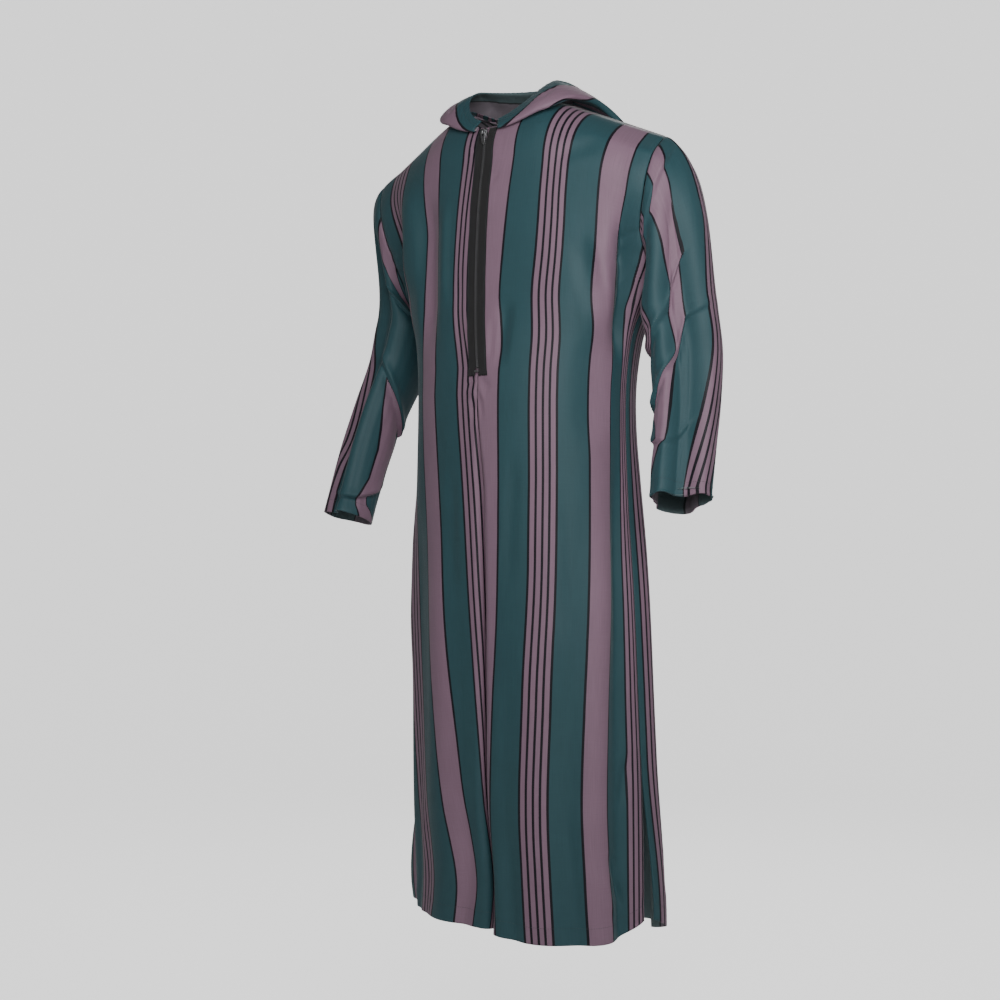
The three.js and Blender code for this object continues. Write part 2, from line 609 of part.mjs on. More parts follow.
function armRow(arm, t) {
  const rows = arm.map((row, index) => ({ ...row, index }));
  const at = (column) => read(rows, 'index', column, t);
  return { centre: new THREE.Vector3(at('x'), at('y'), at('z')), across: at('across'), deep: at('deep') };
}

function sleeveCreaseDepth(armName, angle, z) {
  const creases = SLEEVE_CREASES.filter((crease) => crease.arm === armName).map((crease) => ({
    u1: crease.a1, u2: crease.a2, z1: crease.z1, z2: crease.z2, width: crease.width, depth: crease.depth,
  }));
  return creaseDepth(creases, angle, z);
}

// One ring of the sleeve, square to its centre line
function sleeveRing(arm, side, t) {
  const { centre, across, deep } = armRow(arm, t);
  const before = armRow(arm, Math.max(0, t - SLEEVE_DIRECTION_STEP)).centre;
  const after = armRow(arm, Math.min(arm.length - 1, t + SLEEVE_DIRECTION_STEP)).centre;
  const down = after.sub(before).normalize();
  const outward = new THREE.Vector3(side, 0, 0);
  outward.addScaledVector(down, -outward.dot(down)).normalize();
  const forward = new THREE.Vector3(0, -1, 0);
  forward.addScaledVector(down, -forward.dot(down)).normalize();
  const ring = [];
  for (let k = 0; k < SLEEVE_SIDES; k += 1) {
    const angle = (2 * Math.PI * k) / SLEEVE_SIDES;
    ring.push(centre.clone().addScaledVector(outward, across * Math.cos(angle))
      .addScaledVector(forward, deep * Math.sin(angle)));
  }
  return { ring, down };
}

function sleeveGrid(arm, armName, side) {
  const armhole = resampleLoop(armholeLoop(side), SLEEVE_SIDES);
  const upper = sleeveRing(arm, side, 0);
  const grid = [];
  for (let j = 0; j < SLEEVE_CAP_ROWS; j += 1) {
    const t = j / SLEEVE_CAP_ROWS;
    grid.push(armhole.map((start, k) => {
      const under = 0.5 - 0.5 * Math.cos((2 * Math.PI * k) / SLEEVE_SIDES);
      const pull = mix(CAP_PULL_TOP, CAP_PULL_UNDERARM, under);
      const outward = mix(CAP_LEAVE_TOP.outward, CAP_LEAVE_UNDERARM.outward, under);
      const leave = new THREE.Vector3(
        side * outward,
        0,
        -mix(CAP_LEAVE_TOP.down, CAP_LEAVE_UNDERARM.down, under),
      );
      const origin = start.clone().addScaledVector(leave, SLEEVE_SEAM_GAP);
      const t2 = t * t;
      const t3 = t2 * t;
      return origin.multiplyScalar(2 * t3 - 3 * t2 + 1)
        .addScaledVector(leave, pull * (t3 - 2 * t2 + t))
        .addScaledVector(upper.ring[k], 3 * t2 - 2 * t3)
        .addScaledVector(upper.down, pull * (t3 - t2));
    }));
  }
  for (let j = 0; j <= SLEEVE_LOWER_ROWS; j += 1) {
    grid.push(sleeveRing(arm, side, ((arm.length - 1) * j) / SLEEVE_LOWER_ROWS).ring);
  }
  const normals = gridNormals(grid, true);
  const outwardSign = -side;
  return grid.map((row, j) => row.map((p, k) => {
    const angle = (360 * k) / SLEEVE_SIDES;
    const depth = sleeveCreaseDepth(armName, angle, p.z) + sleeveCreaseDepth(armName, angle + 360, p.z);
    const share = smooth(j / SLEEVE_CREASE_ROWS);
    return p.clone().addScaledVector(normals[j][k], outwardSign * depth * share);
  }));
}

// Hood surface, from the neck seam out over the body, round its fold and up to its rim
function hoodPoint(angle, side, part, t) {
  const reach = read(HOOD_PROFILE, 'angle', 'reach', angle);
  const fullness = read(HOOD_PROFILE, 'angle', 'fullness', angle);
  const turn = radians(angle);
  const drop = angle <= 90 ? FRONT_NECK_DROP : BACK_NECK_DROP;
  const panel = angle <= 90 ? 'front' : 'back';
  const onBody = (r, height) => {
    const u = (NECK_HALF_WIDTH + r) * Math.sin(turn);
    const h = (drop + r) * Math.abs(Math.cos(turn));
    const here = bodyPoint(panel, side, u, h);
    const right = bodyPoint(panel, side, u + HOOD_NORMAL_STEP, h).sub(here);
    const below = bodyPoint(panel, side, u, h + HOOD_NORMAL_STEP).sub(here);
    const normal = new THREE.Vector3().crossVectors(below, right).normalize();
    const forward = panel === 'front' ? -1 : 1;
    if (normal.z * HOOD_UPWARD_SHARE + normal.y * forward < 0) normal.negate();
    return here.addScaledVector(normal, height);
  };
  const overShoulder = HOOD_SHOULDER_LIFT * Math.sin(turn) ** 2;
  const lift = (r) => HOOD_SEAM_LIFT + overShoulder + HOOD_LIFT * smooth(r / HOOD_LIFT_REACH);
  const spread = reach * t ** HOOD_ROW_POWER;
  if (part === 'under') return onBody(spread, lift(spread));
  const low = lift(reach);
  if (part === 'turn') {
    const half = fullness / 2;
    return onBody(reach + half * Math.sin(Math.PI * t), low + half * (1 - Math.cos(Math.PI * t)));
  }
  const rim = new THREE.Vector3(
    side * HOOD_RIM_HALF_WIDTH * Math.sin(turn),
    HOOD_RIM_CENTRE_Y - HOOD_RIM_HALF_DEPTH * Math.cos(turn),
    read(HOOD_PROFILE, 'angle', 'rim', angle),
  );
  const seam = onBody(0, low + fullness);
  const bulge = HOOD_BULGE * Math.sin(Math.PI * t) * smooth(angle / 90);
  const rise = t ** HOOD_RISE_POWER;
  return onBody(reach * (1 - t), low + fullness + bulge).addScaledVector(rim.sub(seam), rise);
}

function hoodGrid() {
  const parts = [
    ...Array.from({ length: HOOD_UNDER_ROWS }, (_, j) => ['under', j / HOOD_UNDER_ROWS]),
    ...Array.from({ length: HOOD_TURN_ROWS }, (_, j) => ['turn', j / HOOD_TURN_ROWS]),
    ...Array.from({ length: HOOD_OUTER_ROWS + 1 }, (_, j) => ['outer', j / HOOD_OUTER_ROWS]),
  ];
  return parts.map(([part, t]) => Array.from({ length: HOOD_SIDES + 1 }, (_, i) => {
    const round = mix(HOOD_FIRST_ANGLE, 360 - HOOD_FIRST_ANGLE, i / HOOD_SIDES);
    const left = round <= 180;
    return hoodPoint(left ? round : 360 - round, left ? 1 : -1, part, t);
  }));
}

function box(width, depth, height, x, y, z) {
  const geometry = new THREE.BoxGeometry(width, depth, height);
  geometry.translate(x, y, z);
  return geometry;
}

const wasm = await Module();
wasm.setup();

function joined(a, b) {
  const solid = (source) => {
    const bare = source.clone();
    bare.deleteAttribute('normal');
    bare.deleteAttribute('uv');
    const merged = mergeVertices(bare, MERGE_TOLERANCE);
    return new wasm.Manifold(new wasm.Mesh({
      numProp: 3,
      vertProperties: new Float32Array(merged.attributes.position.array),
      triVerts: new Uint32Array(merged.index.array),
    }));
  };
  const result = solid(a).add(solid(b)).getMesh();
  const geometry = new THREE.BufferGeometry();
  geometry.setAttribute('position', new THREE.BufferAttribute(result.vertProperties, 3));
  geometry.setIndex(new THREE.BufferAttribute(result.triVerts, 1));
  geometry.computeVertexNormals();
  return geometry;
}

// Places of the slider: its back rests on the tapes at its lower edge
const sliderBottom = FRONT_NECK_DROP + SLIDER.below + SLIDER.height;
const sliderBack = frontSurface(1, 0, sliderBottom).y - ZIP_TAPE_LIFT - ZIP_TAPE_WALL - PART_GAP;
const sliderFront = sliderBack - SLIDER.thickness;
const pullAxisZ = -(FRONT_NECK_DROP + SLIDER.below + SLIDER.height / 2);
const pullAxisY = sliderFront - BRIDGE.depth + BRIDGE.wall + BRIDGE.hole / 2;

function slider() {
  const plate = box(SLIDER.width, SLIDER.thickness, SLIDER.height, 0,
    sliderBack - SLIDER.thickness / 2, pullAxisZ);
  const outer = new THREE.Shape();
  const half = BRIDGE.height / 2;
  const { root, chamfer, depth } = BRIDGE;
  outer.moveTo(root, half).lineTo(chamfer - depth, half).lineTo(-depth, half - chamfer);
  outer.lineTo(-depth, chamfer - half).lineTo(chamfer - depth, -half).lineTo(root, -half);
  outer.closePath();
  const eye = new THREE.Path();
  eye.absarc(pullAxisY - sliderFront, 0, BRIDGE.hole / 2, 0, Math.PI * 2, true);
  outer.holes.push(eye);
  const bridge = new THREE.ExtrudeGeometry(outer, {
    depth: BRIDGE.width, bevelEnabled: false, curveSegments: 8,
  });
  bridge.translate(0, 0, -BRIDGE.width / 2);
  const turn = new THREE.Matrix4().makeBasis(
    new THREE.Vector3(0, 1, 0),
    new THREE.Vector3(0, 0, 1),
    new THREE.Vector3(1, 0, 0),
  );
  bridge.applyMatrix4(turn);
  bridge.translate(0, sliderFront, pullAxisZ);
  return joined(plate, bridge);
}

// Pull tab: a frame whose top bar lies in the slider's bridge, tapering to a rounded foot
function pullTab() {
  const half = PULL_TAB.width / 2;
  const foot = PULL_TAB.foot / 2;
  const top = PULL_TAB.bar / 2;
  const outer = new THREE.Shape();
  outer.moveTo(-half, top).lineTo(-half, -PULL_TAB.eyeHeight - PULL_TAB.shoulder);
  outer.lineTo(-foot, top - PULL_TAB.length + foot);
  outer.absarc(0, top - PULL_TAB.length + foot, foot, Math.PI, Math.PI * 2, false);
  outer.lineTo(half, -PULL_TAB.eyeHeight - PULL_TAB.shoulder).lineTo(half, top);
  outer.closePath();
  const eye = new THREE.Path();
  const eyeHalf = PULL_TAB.eye / 2;
  eye.moveTo(-eyeHalf, -top).lineTo(eyeHalf, -top);
  eye.lineTo(eyeHalf, -top - PULL_TAB.eyeHeight).lineTo(-eyeHalf, -top - PULL_TAB.eyeHeight);
  eye.closePath();
  outer.holes.push(eye);
  const geometry = new THREE.ExtrudeGeometry(outer, {
    depth: PULL_TAB.thickness, bevelEnabled: false, curveSegments: 6,
  });
  geometry.translate(0, 0, -PULL_TAB.thickness / 2);
  geometry.rotateX(Math.PI / 2);
  geometry.translate(0, pullAxisY, pullAxisZ);
  return geometry;
}

function bottomStop() {
  const h = ZIP_END - STOP.above;
  const back = frontSurface(1, 0, h).y - ZIP_TAPE_LIFT - ZIP_TAPE_WALL - PART_GAP;
  return box(STOP.width, STOP.depth, STOP.height, 0, back - STOP.depth / 2, -h);
}

function mesh(name, geometry, finish) {
  const item = new THREE.Mesh(geometry, new THREE.MeshStandardMaterial(finish));
  item.name = name;
  return item;
}

const group = new THREE.Group();
group.add(mesh('front_left', clothWall(frontGrid(1), false, -1), MATERIALS.green));
group.add(mesh('front_right', clothWall(frontGrid(-1), false, 1), MATERIALS.green));
group.add(mesh('back', clothWall(backGrid(), false, -1), MATERIALS.green));
group.add(mesh('sleeve_left', clothWall(sleeveGrid(LEFT_ARM, 'left', 1), true, 1), MATERIALS.green));
group.add(mesh('sleeve_right', clothWall(sleeveGrid(RIGHT_ARM, 'right', -1), true, -1), MATERIALS.green));
group.add(mesh('hood', clothWall(hoodGrid(), false, 1), MATERIALS.green));
group.add(mesh('zip_tape_left', tape(1), MATERIALS.tape));
group.add(mesh('zip_tape_right', tape(-1), MATERIALS.tape));
group.add(mesh('zip_chain', chain(), MATERIALS.tape));
group.add(mesh('zip_slider', slider(), MATERIALS.metal));
group.add(mesh('zip_pull', pullTab(), MATERIALS.metal));
group.add(mesh('zip_stop', bottomStop(), MATERIALS.metal));

export default group;
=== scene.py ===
"""Hooded half-zip striped thobe in its hollow worn form: cloth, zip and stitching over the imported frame."""

import math

import bmesh
import bpy
import numpy as np
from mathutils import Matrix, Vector


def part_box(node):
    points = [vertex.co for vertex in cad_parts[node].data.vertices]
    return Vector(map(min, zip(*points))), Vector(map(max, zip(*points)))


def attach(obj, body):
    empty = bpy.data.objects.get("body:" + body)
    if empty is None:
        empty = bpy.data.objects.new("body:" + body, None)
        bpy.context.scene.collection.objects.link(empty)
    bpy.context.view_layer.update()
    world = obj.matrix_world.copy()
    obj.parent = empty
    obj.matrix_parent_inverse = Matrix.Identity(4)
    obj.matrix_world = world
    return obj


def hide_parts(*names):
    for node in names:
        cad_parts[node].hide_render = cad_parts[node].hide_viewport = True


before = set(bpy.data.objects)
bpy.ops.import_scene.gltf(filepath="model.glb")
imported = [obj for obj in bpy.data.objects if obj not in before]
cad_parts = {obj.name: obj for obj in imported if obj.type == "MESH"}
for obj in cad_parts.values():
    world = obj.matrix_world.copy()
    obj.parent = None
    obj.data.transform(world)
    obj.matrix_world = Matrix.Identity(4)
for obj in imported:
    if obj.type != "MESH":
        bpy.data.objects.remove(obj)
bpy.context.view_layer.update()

bl_info = {
    "name": "Striped Hooded Thobe",
    "version": (1, 0, 0),
    "blender": (4, 5, 0),
    "location": "3D View > Sidebar > Thobe",
    "description": "Makes a striped hooded thobe with a chest zip around its construction frame",
    "category": "Add Mesh",
}

# Cut of the garment, in metres. Cloth places are u, the flat distance from the centre line,
# and h, the depth below the shoulder seam. The front faces -Y and the wearer's left is +X.
GARMENT_LENGTH = 1.266
NECK_HALF_WIDTH = 0.085
FRONT_NECK_DROP = 0.042
BACK_NECK_DROP = 0.012
SHOULDER_HALF_WIDTH = 0.250
SHOULDER_DROP = 0.067
PANEL_HALF_WIDTH = 0.310
ARMHOLE_DEPTH = 0.232
ARMHOLE_HOLLOW = 0.009
SHOULDER_SEAM_START = NECK_HALF_WIDTH * 0.9
SHOULDER_FLAT_END = 0.263
SHOULDER_EASE = 0.150
NECK_LINE_Y = -0.030
FRONT_ROUNDING = 0.090
BACK_ROUNDING = 0.170
WIDTH_BLEND_DEPTH = 0.300
SHOULDER_SLOPE_FADE = 0.700
SECTION_POWER = 2.4
SEAM_HALF_GAP = 0.0003
SHOULDER_HALF_GAP = 0.0006
FOLD_LIP_RADIUS = 0.012
FOLD_LIP_SHARE = 0.43
FOLD_FLOOR_HALF = 0.003
FOLD_FLOOR_TUCK = 0.006
SIDE_EASE_START = 0.220
HEM_RISE_START = 0.900
SLIT_HEIGHT = 0.265
SLIT_FRONT_SWING = 0.009
SLIT_BACK_SWING = 0.016
SLIT_DRAWN_BACK = 0.015
SLIT_TOP = GARMENT_LENGTH - SLIT_HEIGHT
SLIT_SWING_START = 0.230
SLIT_SWING_BREADTH = 0.080
BACK_DIP_FADE = 0.116
BACK_CENTRE_BLEND = 0.060
ZIP_LENGTH = 0.382
ZIP_TAPE_WIDTH = 0.0166
ZIP_CHAIN_HALF = 0.0028
ZIP_PARTING = 0.011
ZIP_CLOSING_LENGTH = 0.110
ZIP_END = FRONT_NECK_DROP + ZIP_LENGTH
CUFF_HEM = 0.020


def table(names, *rows):
    """Columns of a table by name."""
    return dict(zip(names.split(), np.array(rows, float).T))


def crease_table(*rows):
    """Creases: a line from the first place to the second, half its breadth and its depth."""
    return table("u1 z1 u2 z2 width depth", *rows)


def fold_line(*rows):
    return table("around z height", *rows)


def stripe_edges(*rows):
    return table("z start end next", *rows)


# Body outline by height: half widths on the wearer's left and right, front and back depth
BODY_SECTIONS = table(
    "z left right front back",
    (-0.200, 0.216, 0.214, 0.121, 0.118),
    (-0.297, 0.213, 0.208, 0.124, 0.118),
    (-0.370, 0.188, 0.188, 0.133, 0.112),
    (-0.460, 0.178, 0.180, 0.141, 0.104),
    (-0.600, 0.182, 0.184, 0.142, 0.106),
    (-0.765, 0.193, 0.192, 0.143, 0.110),
    (-0.920, 0.200, 0.194, 0.144, 0.118),
    (-1.065, 0.206, 0.194, 0.146, 0.132),
    (-1.180, 0.209, 0.190, 0.150, 0.146),
    (-1.266, 0.210, 0.184, 0.152, 0.152),
)

# Fold down the centre front: how far it wanders and how much cloth each front tucks in
CENTRE_FOLD = table(
    "z shift tuck",
    (-0.450, 0.000, 0.000),
    (-0.610, 0.007, 0.007),
    (-0.765, 0.011, 0.013),
    (-0.920, 0.013, 0.022),
    (-1.065, 0.017, 0.029),
    (-1.180, 0.031, 0.035),
    (-1.266, 0.030, 0.027),
)

# How far the hem rises above its lowest level, by flat distance from the centre front
HEM_RISE = table(
    "u rise",
    (-0.310, 0.030),
    (-0.150, 0.022),
    (0.000, 0.012),
    (0.110, 0.000),
    (0.240, 0.004),
    (0.310, 0.028),
)

# Sideways wander of the zip and the cloth beside it, by height
ZIP_WANDER = table(
    "z x",
    (-0.090, 0.0000),
    (-0.160, -0.0090),
    (-0.235, -0.0130),
    (-0.310, -0.0120),
    (-0.410, 0.0000),
)
ZIP_WANDER_REACH = 0.120

# How far each front's stripes lean outward from the straight grain, or inward where it is
# less than nothing, by height
RIGHT_LEAN = table(
    "z lean",
    (-0.600, 0.000),
    (-0.765, -0.004),
    (-0.913, -0.012),
    (-1.063, -0.026),
    (-1.180, -0.036),
    (-1.266, -0.038),
)
LEFT_LEAN = table(
    "z lean",
    (-0.030, 0.026),
    (-0.081, 0.023),
    (-0.157, 0.014),
    (-0.232, 0.007),
    (-0.308, 0.001),
    (-0.380, 0.008),
    (-0.470, 0.010),
    (-0.765, 0.011),
    (-1.000, 0.013),
    (-1.266, 0.011),
)
LEFT_LEAN_START = 0.045
RIGHT_LEAN_START = 0.080

# Long folds of each panel, then its finer creases: a line from (u1, z1) to (u2, z2),
# half its breadth, and its depth, a ridge where it is positive and a trough where negative
PANEL_CREASES = {
    "front_left": crease_table(
        (0.232, -0.150, 0.246, -0.420, 0.030, -0.0230),
        (0.206, -0.170, 0.176, -0.400, 0.026, 0.0070),
        (0.180, -0.330, 0.190, -0.560, 0.030, -0.0060),
        (0.246, -0.470, 0.252, -1.266, 0.034, -0.0130),
        (0.212, -0.560, 0.214, -1.266, 0.030, 0.0070),
        (0.096, -0.700, 0.112, -1.266, 0.044, 0.0060),
        (0.150, -0.820, 0.164, -1.266, 0.030, -0.0050),
        (0.042, -0.300, 0.036, -0.420, 0.014, -0.0058),
        (0.010, -0.130, 0.028, -0.117, 0.004, -0.0019),
        (0.021, -0.325, 0.020, -0.412, 0.006, -0.0023),
        (0.002, -0.428, 0.026, -0.444, 0.005, -0.0023),
        (0.002, -0.437, 0.017, -0.463, 0.004, 0.0016),
        (0.004, -0.450, 0.012, -0.492, 0.005, -0.0017),
        (0.150, -0.215, 0.192, -0.372, 0.017, -0.0043),
        (0.171, -0.205, 0.208, -0.330, 0.011, 0.0026),
        (0.108, -0.105, 0.196, -0.078, 0.014, -0.0032),
        (0.262, -0.232, 0.214, -0.262, 0.007, -0.0043),
        (0.268, -0.212, 0.226, -0.226, 0.006, -0.0038),
        (0.270, -0.246, 0.236, -0.300, 0.006, 0.0032),
        (0.284, -0.262, 0.262, -0.345, 0.007, -0.0043),
        (0.066, -0.520, 0.058, -0.760, 0.012, -0.0023),
        (0.132, -0.580, 0.146, -0.840, 0.014, -0.0029),
        (0.224, -1.128, 0.262, -1.222, 0.010, -0.0061),
        (0.208, -1.160, 0.236, -1.238, 0.008, 0.0032),
        (0.280, -0.985, 0.262, -1.075, 0.009, -0.0035),
        (0.078, -1.090, 0.070, -1.266, 0.016, -0.0038),
        (0.182, -1.040, 0.190, -1.266, 0.015, 0.0038),
        (0.046, -0.800, 0.052, -1.266, 0.016, 0.0035),
    ),
    "front_right": crease_table(
        (0.118, -0.110, 0.104, -0.400, 0.026, -0.0120),
        (0.160, -0.090, 0.186, -0.300, 0.026, 0.0090),
        (0.200, -0.120, 0.236, -0.360, 0.026, -0.0110),
        (0.150, -0.520, 0.196, -1.266, 0.036, -0.0090),
        (0.090, -0.640, 0.118, -1.266, 0.030, 0.0070),
        (0.246, -0.480, 0.256, -1.266, 0.030, -0.0120),
        (0.006, -0.070, 0.030, -0.086, 0.004, -0.0014),
        (0.022, -0.250, 0.026, -0.400, 0.007, -0.0022),
        (0.002, -0.429, 0.024, -0.441, 0.005, -0.0022),
        (0.002, -0.441, 0.018, -0.470, 0.004, 0.0016),
        (0.004, -0.455, 0.014, -0.500, 0.005, -0.0017),
        (0.070, -0.130, 0.062, -0.330, 0.012, 0.0032),
        (0.262, -0.228, 0.210, -0.268, 0.007, -0.0049),
        (0.266, -0.205, 0.216, -0.230, 0.007, -0.0038),
        (0.276, -0.255, 0.240, -0.330, 0.007, 0.0038),
        (0.134, -0.150, 0.140, -0.300, 0.010, -0.0026),
        (0.060, -0.540, 0.070, -0.780, 0.013, -0.0026),
        (0.206, -0.560, 0.222, -0.900, 0.013, 0.0038),
        (0.264, -1.120, 0.228, -1.220, 0.010, -0.0052),
        (0.172, -1.060, 0.186, -1.266, 0.014, 0.0035),
        (0.060, -1.030, 0.078, -1.266, 0.014, -0.0035),
    ),
    "back_left": crease_table(
        (0.060, -0.420, 0.082, -1.266, 0.040, -0.0150),
        (0.128, -0.520, 0.148, -1.266, 0.036, 0.0120),
        (0.205, -0.330, 0.222, -1.266, 0.034, -0.0140),
        (0.268, -0.420, 0.276, -1.266, 0.026, 0.0090),
        (0.236, -0.170, 0.196, -0.420, 0.030, -0.0120),
        (0.262, -0.226, 0.212, -0.262, 0.007, -0.0046),
        (0.268, -0.206, 0.226, -0.228, 0.006, -0.0035),
        (0.272, -0.250, 0.242, -0.322, 0.007, 0.0035),
        (0.104, -0.560, 0.110, -0.860, 0.013, -0.0029),
        (0.176, -0.640, 0.186, -1.020, 0.014, 0.0035),
        (0.036, -0.720, 0.030, -1.266, 0.015, 0.0038),
        (0.246, -1.080, 0.270, -1.210, 0.010, -0.0052),
    ),
    "back_right": crease_table(
        (0.040, -0.360, 0.030, -1.266, 0.036, 0.0110),
        (0.098, -0.440, 0.112, -1.266, 0.038, -0.0150),
        (0.170, -0.560, 0.184, -1.266, 0.034, 0.0110),
        (0.240, -0.340, 0.250, -1.266, 0.034, -0.0140),
        (0.232, -0.180, 0.186, -0.400, 0.030, -0.0110),
        (0.264, -0.230, 0.214, -0.258, 0.007, -0.0043),
        (0.270, -0.210, 0.224, -0.232, 0.006, -0.0035),
        (0.274, -0.256, 0.248, -0.330, 0.007, 0.0035),
        (0.070, -0.600, 0.066, -0.900, 0.013, -0.0026),
        (0.142, -0.700, 0.150, -1.080, 0.013, -0.0032),
        (0.214, -0.760, 0.222, -1.266, 0.014, 0.0038),
        (0.252, -1.100, 0.276, -1.216, 0.010, -0.0049),
    ),
}

# Rounding of each armhole over the upper arm
ARM_ROUND_U = 0.265
ARM_ROUND_H = 0.085
ARM_ROUND_BREADTH = 0.080
ARM_ROUND_HEIGHT = 0.110
ARM_ROUND_START = 0.040
ARM_ROUND_OUTWARD = 0.014
ARM_ROUND_FRONT = 0.032
ARM_ROUND_BACK = 0.024

# Sleeve rings below the armhole: centre, half breadth across the body and half depth
LEFT_ARM = table(
    "row x y z across deep",
    (0, 0.268, 0.006, -0.330, 0.059, 0.066),
    (1, 0.278, 0.008, -0.395, 0.056, 0.063),
    (2, 0.286, -0.002, -0.465, 0.051, 0.057),
    (3, 0.293, -0.022, -0.535, 0.048, 0.052),
    (4, 0.302, -0.046, -0.600, 0.046, 0.048),
    (5, 0.305, -0.052, -0.616, 0.046, 0.048),
)
RIGHT_ARM = table(
    "row x y z across deep",
    (0, -0.256, 0.012, -0.330, 0.050, 0.064),
    (1, -0.267, 0.002, -0.385, 0.046, 0.061),
    (2, -0.282, -0.024, -0.455, 0.041, 0.056),
    (3, -0.292, -0.050, -0.525, 0.039, 0.051),
    (4, -0.299, -0.074, -0.600, 0.038, 0.047),
    (5, -0.302, -0.084, -0.634, 0.038, 0.047),
)
CAP_PULL_TOP = 0.230
CAP_PULL_UNDERARM = 0.070
SLEEVE_SEAM_GAP = 0.001

# Where each sleeve's narrow stripes end toward its front, by height, as the distance round
# the sleeve from the middle of its outer side
SLEEVE_STRIPES = {
    "left": table(
        "z place",
        (-0.080, 0.003),
        (-0.160, 0.003),
        (-0.195, 0.001),
        (-0.235, 0.006),
        (-0.302, 0.013),
        (-0.368, 0.013),
        (-0.474, 0.024),
        (-0.515, 0.029),
        (-0.592, 0.041),
    ),
    "right": table(
        "z place",
        (-0.080, 0.022),
        (-0.200, 0.027),
        (-0.340, 0.040),
        (-0.393, 0.053),
        (-0.456, 0.060),
        (-0.506, 0.058),
        (-0.552, 0.045),
        (-0.600, 0.040),
        (-0.645, 0.044),
    ),
}
# Broad sleeve creases, a line from (a1, z1) to (a2, z2); a is degrees from the outer side,
# 90 at the front, 180 at the inner side and 270 at the back. Widths are in the same degrees.
SLEEVE_CREASES = {
    "left": crease_table(
        (20, -0.190, 100, -0.350, 17, -0.0090),
        (10, -0.290, 95, -0.405, 15, -0.0080),
        (5, -0.400, 105, -0.500, 16, -0.0080),
        (130, -0.290, 190, -0.420, 18, -0.0080),
        (350, -0.360, 250, -0.450, 18, -0.0090),
        (340, -0.250, 240, -0.340, 18, -0.0080),
    ),
    "right": crease_table(
        (30, -0.230, 110, -0.370, 17, -0.0080),
        (20, -0.370, 110, -0.470, 16, -0.0080),
        (40, -0.560, 120, -0.600, 14, -0.0060),
        (350, -0.340, 250, -0.430, 18, -0.0090),
        (340, -0.440, 240, -0.520, 16, -0.0070),
    ),
}

# Lapped sleeve folds, from the shoulder down: the cloth above each line laps over the cloth
# below it. around is the distance round the sleeve from the middle of its outer side, and
# less than nothing on its back.
SLEEVE_FOLDS = {
    "left": (
        fold_line(
            (0.000, -0.082, 0.001), (0.058, -0.118, 0.003), (0.134, -0.183, 0.004),
            (0.180, -0.222, 0.002)),
        fold_line(
            (0.026, -0.238, 0.001), (0.044, -0.258, 0.003), (0.071, -0.296, 0.005),
            (0.089, -0.335, 0.005), (0.122, -0.380, 0.005), (0.180, -0.430, 0.002)),
        fold_line(
            (0.004, -0.322, 0.001), (0.047, -0.344, 0.004), (0.080, -0.398, 0.005),
            (0.122, -0.475, 0.005), (0.170, -0.540, 0.002)),
        fold_line(
            (0.020, -0.486, 0.001), (0.081, -0.527, 0.003), (0.130, -0.531, 0.003),
            (0.165, -0.528, 0.001)),
        fold_line(
            (-0.190, -0.360, 0.001), (-0.110, -0.330, 0.005), (-0.040, -0.272, 0.002)),
        fold_line(
            (-0.170, -0.500, 0.001), (-0.100, -0.462, 0.004), (-0.030, -0.420, 0.001)),
    ),
    "right": (
        fold_line(
            (0.080, -0.352, 0.002), (0.121, -0.416, 0.006), (0.150, -0.457, 0.006),
            (0.180, -0.493, 0.005), (0.205, -0.530, 0.001)),
        fold_line(
            (0.030, -0.590, 0.001), (0.104, -0.604, 0.005), (0.150, -0.596, 0.004),
            (0.180, -0.580, 0.001)),
        fold_line(
            (0.060, -0.205, 0.001), (0.120, -0.262, 0.004), (0.176, -0.330, 0.002)),
        fold_line(
            (-0.180, -0.380, 0.001), (-0.100, -0.345, 0.005), (-0.036, -0.300, 0.002)),
        fold_line(
            (-0.160, -0.520, 0.001), (-0.090, -0.486, 0.004), (-0.020, -0.450, 0.001)),
    ),
}
FOLD_STEP = 0.0060
FOLD_BACK = 0.013
FOLD_AHEAD = 0.022
FOLD_END = 0.018

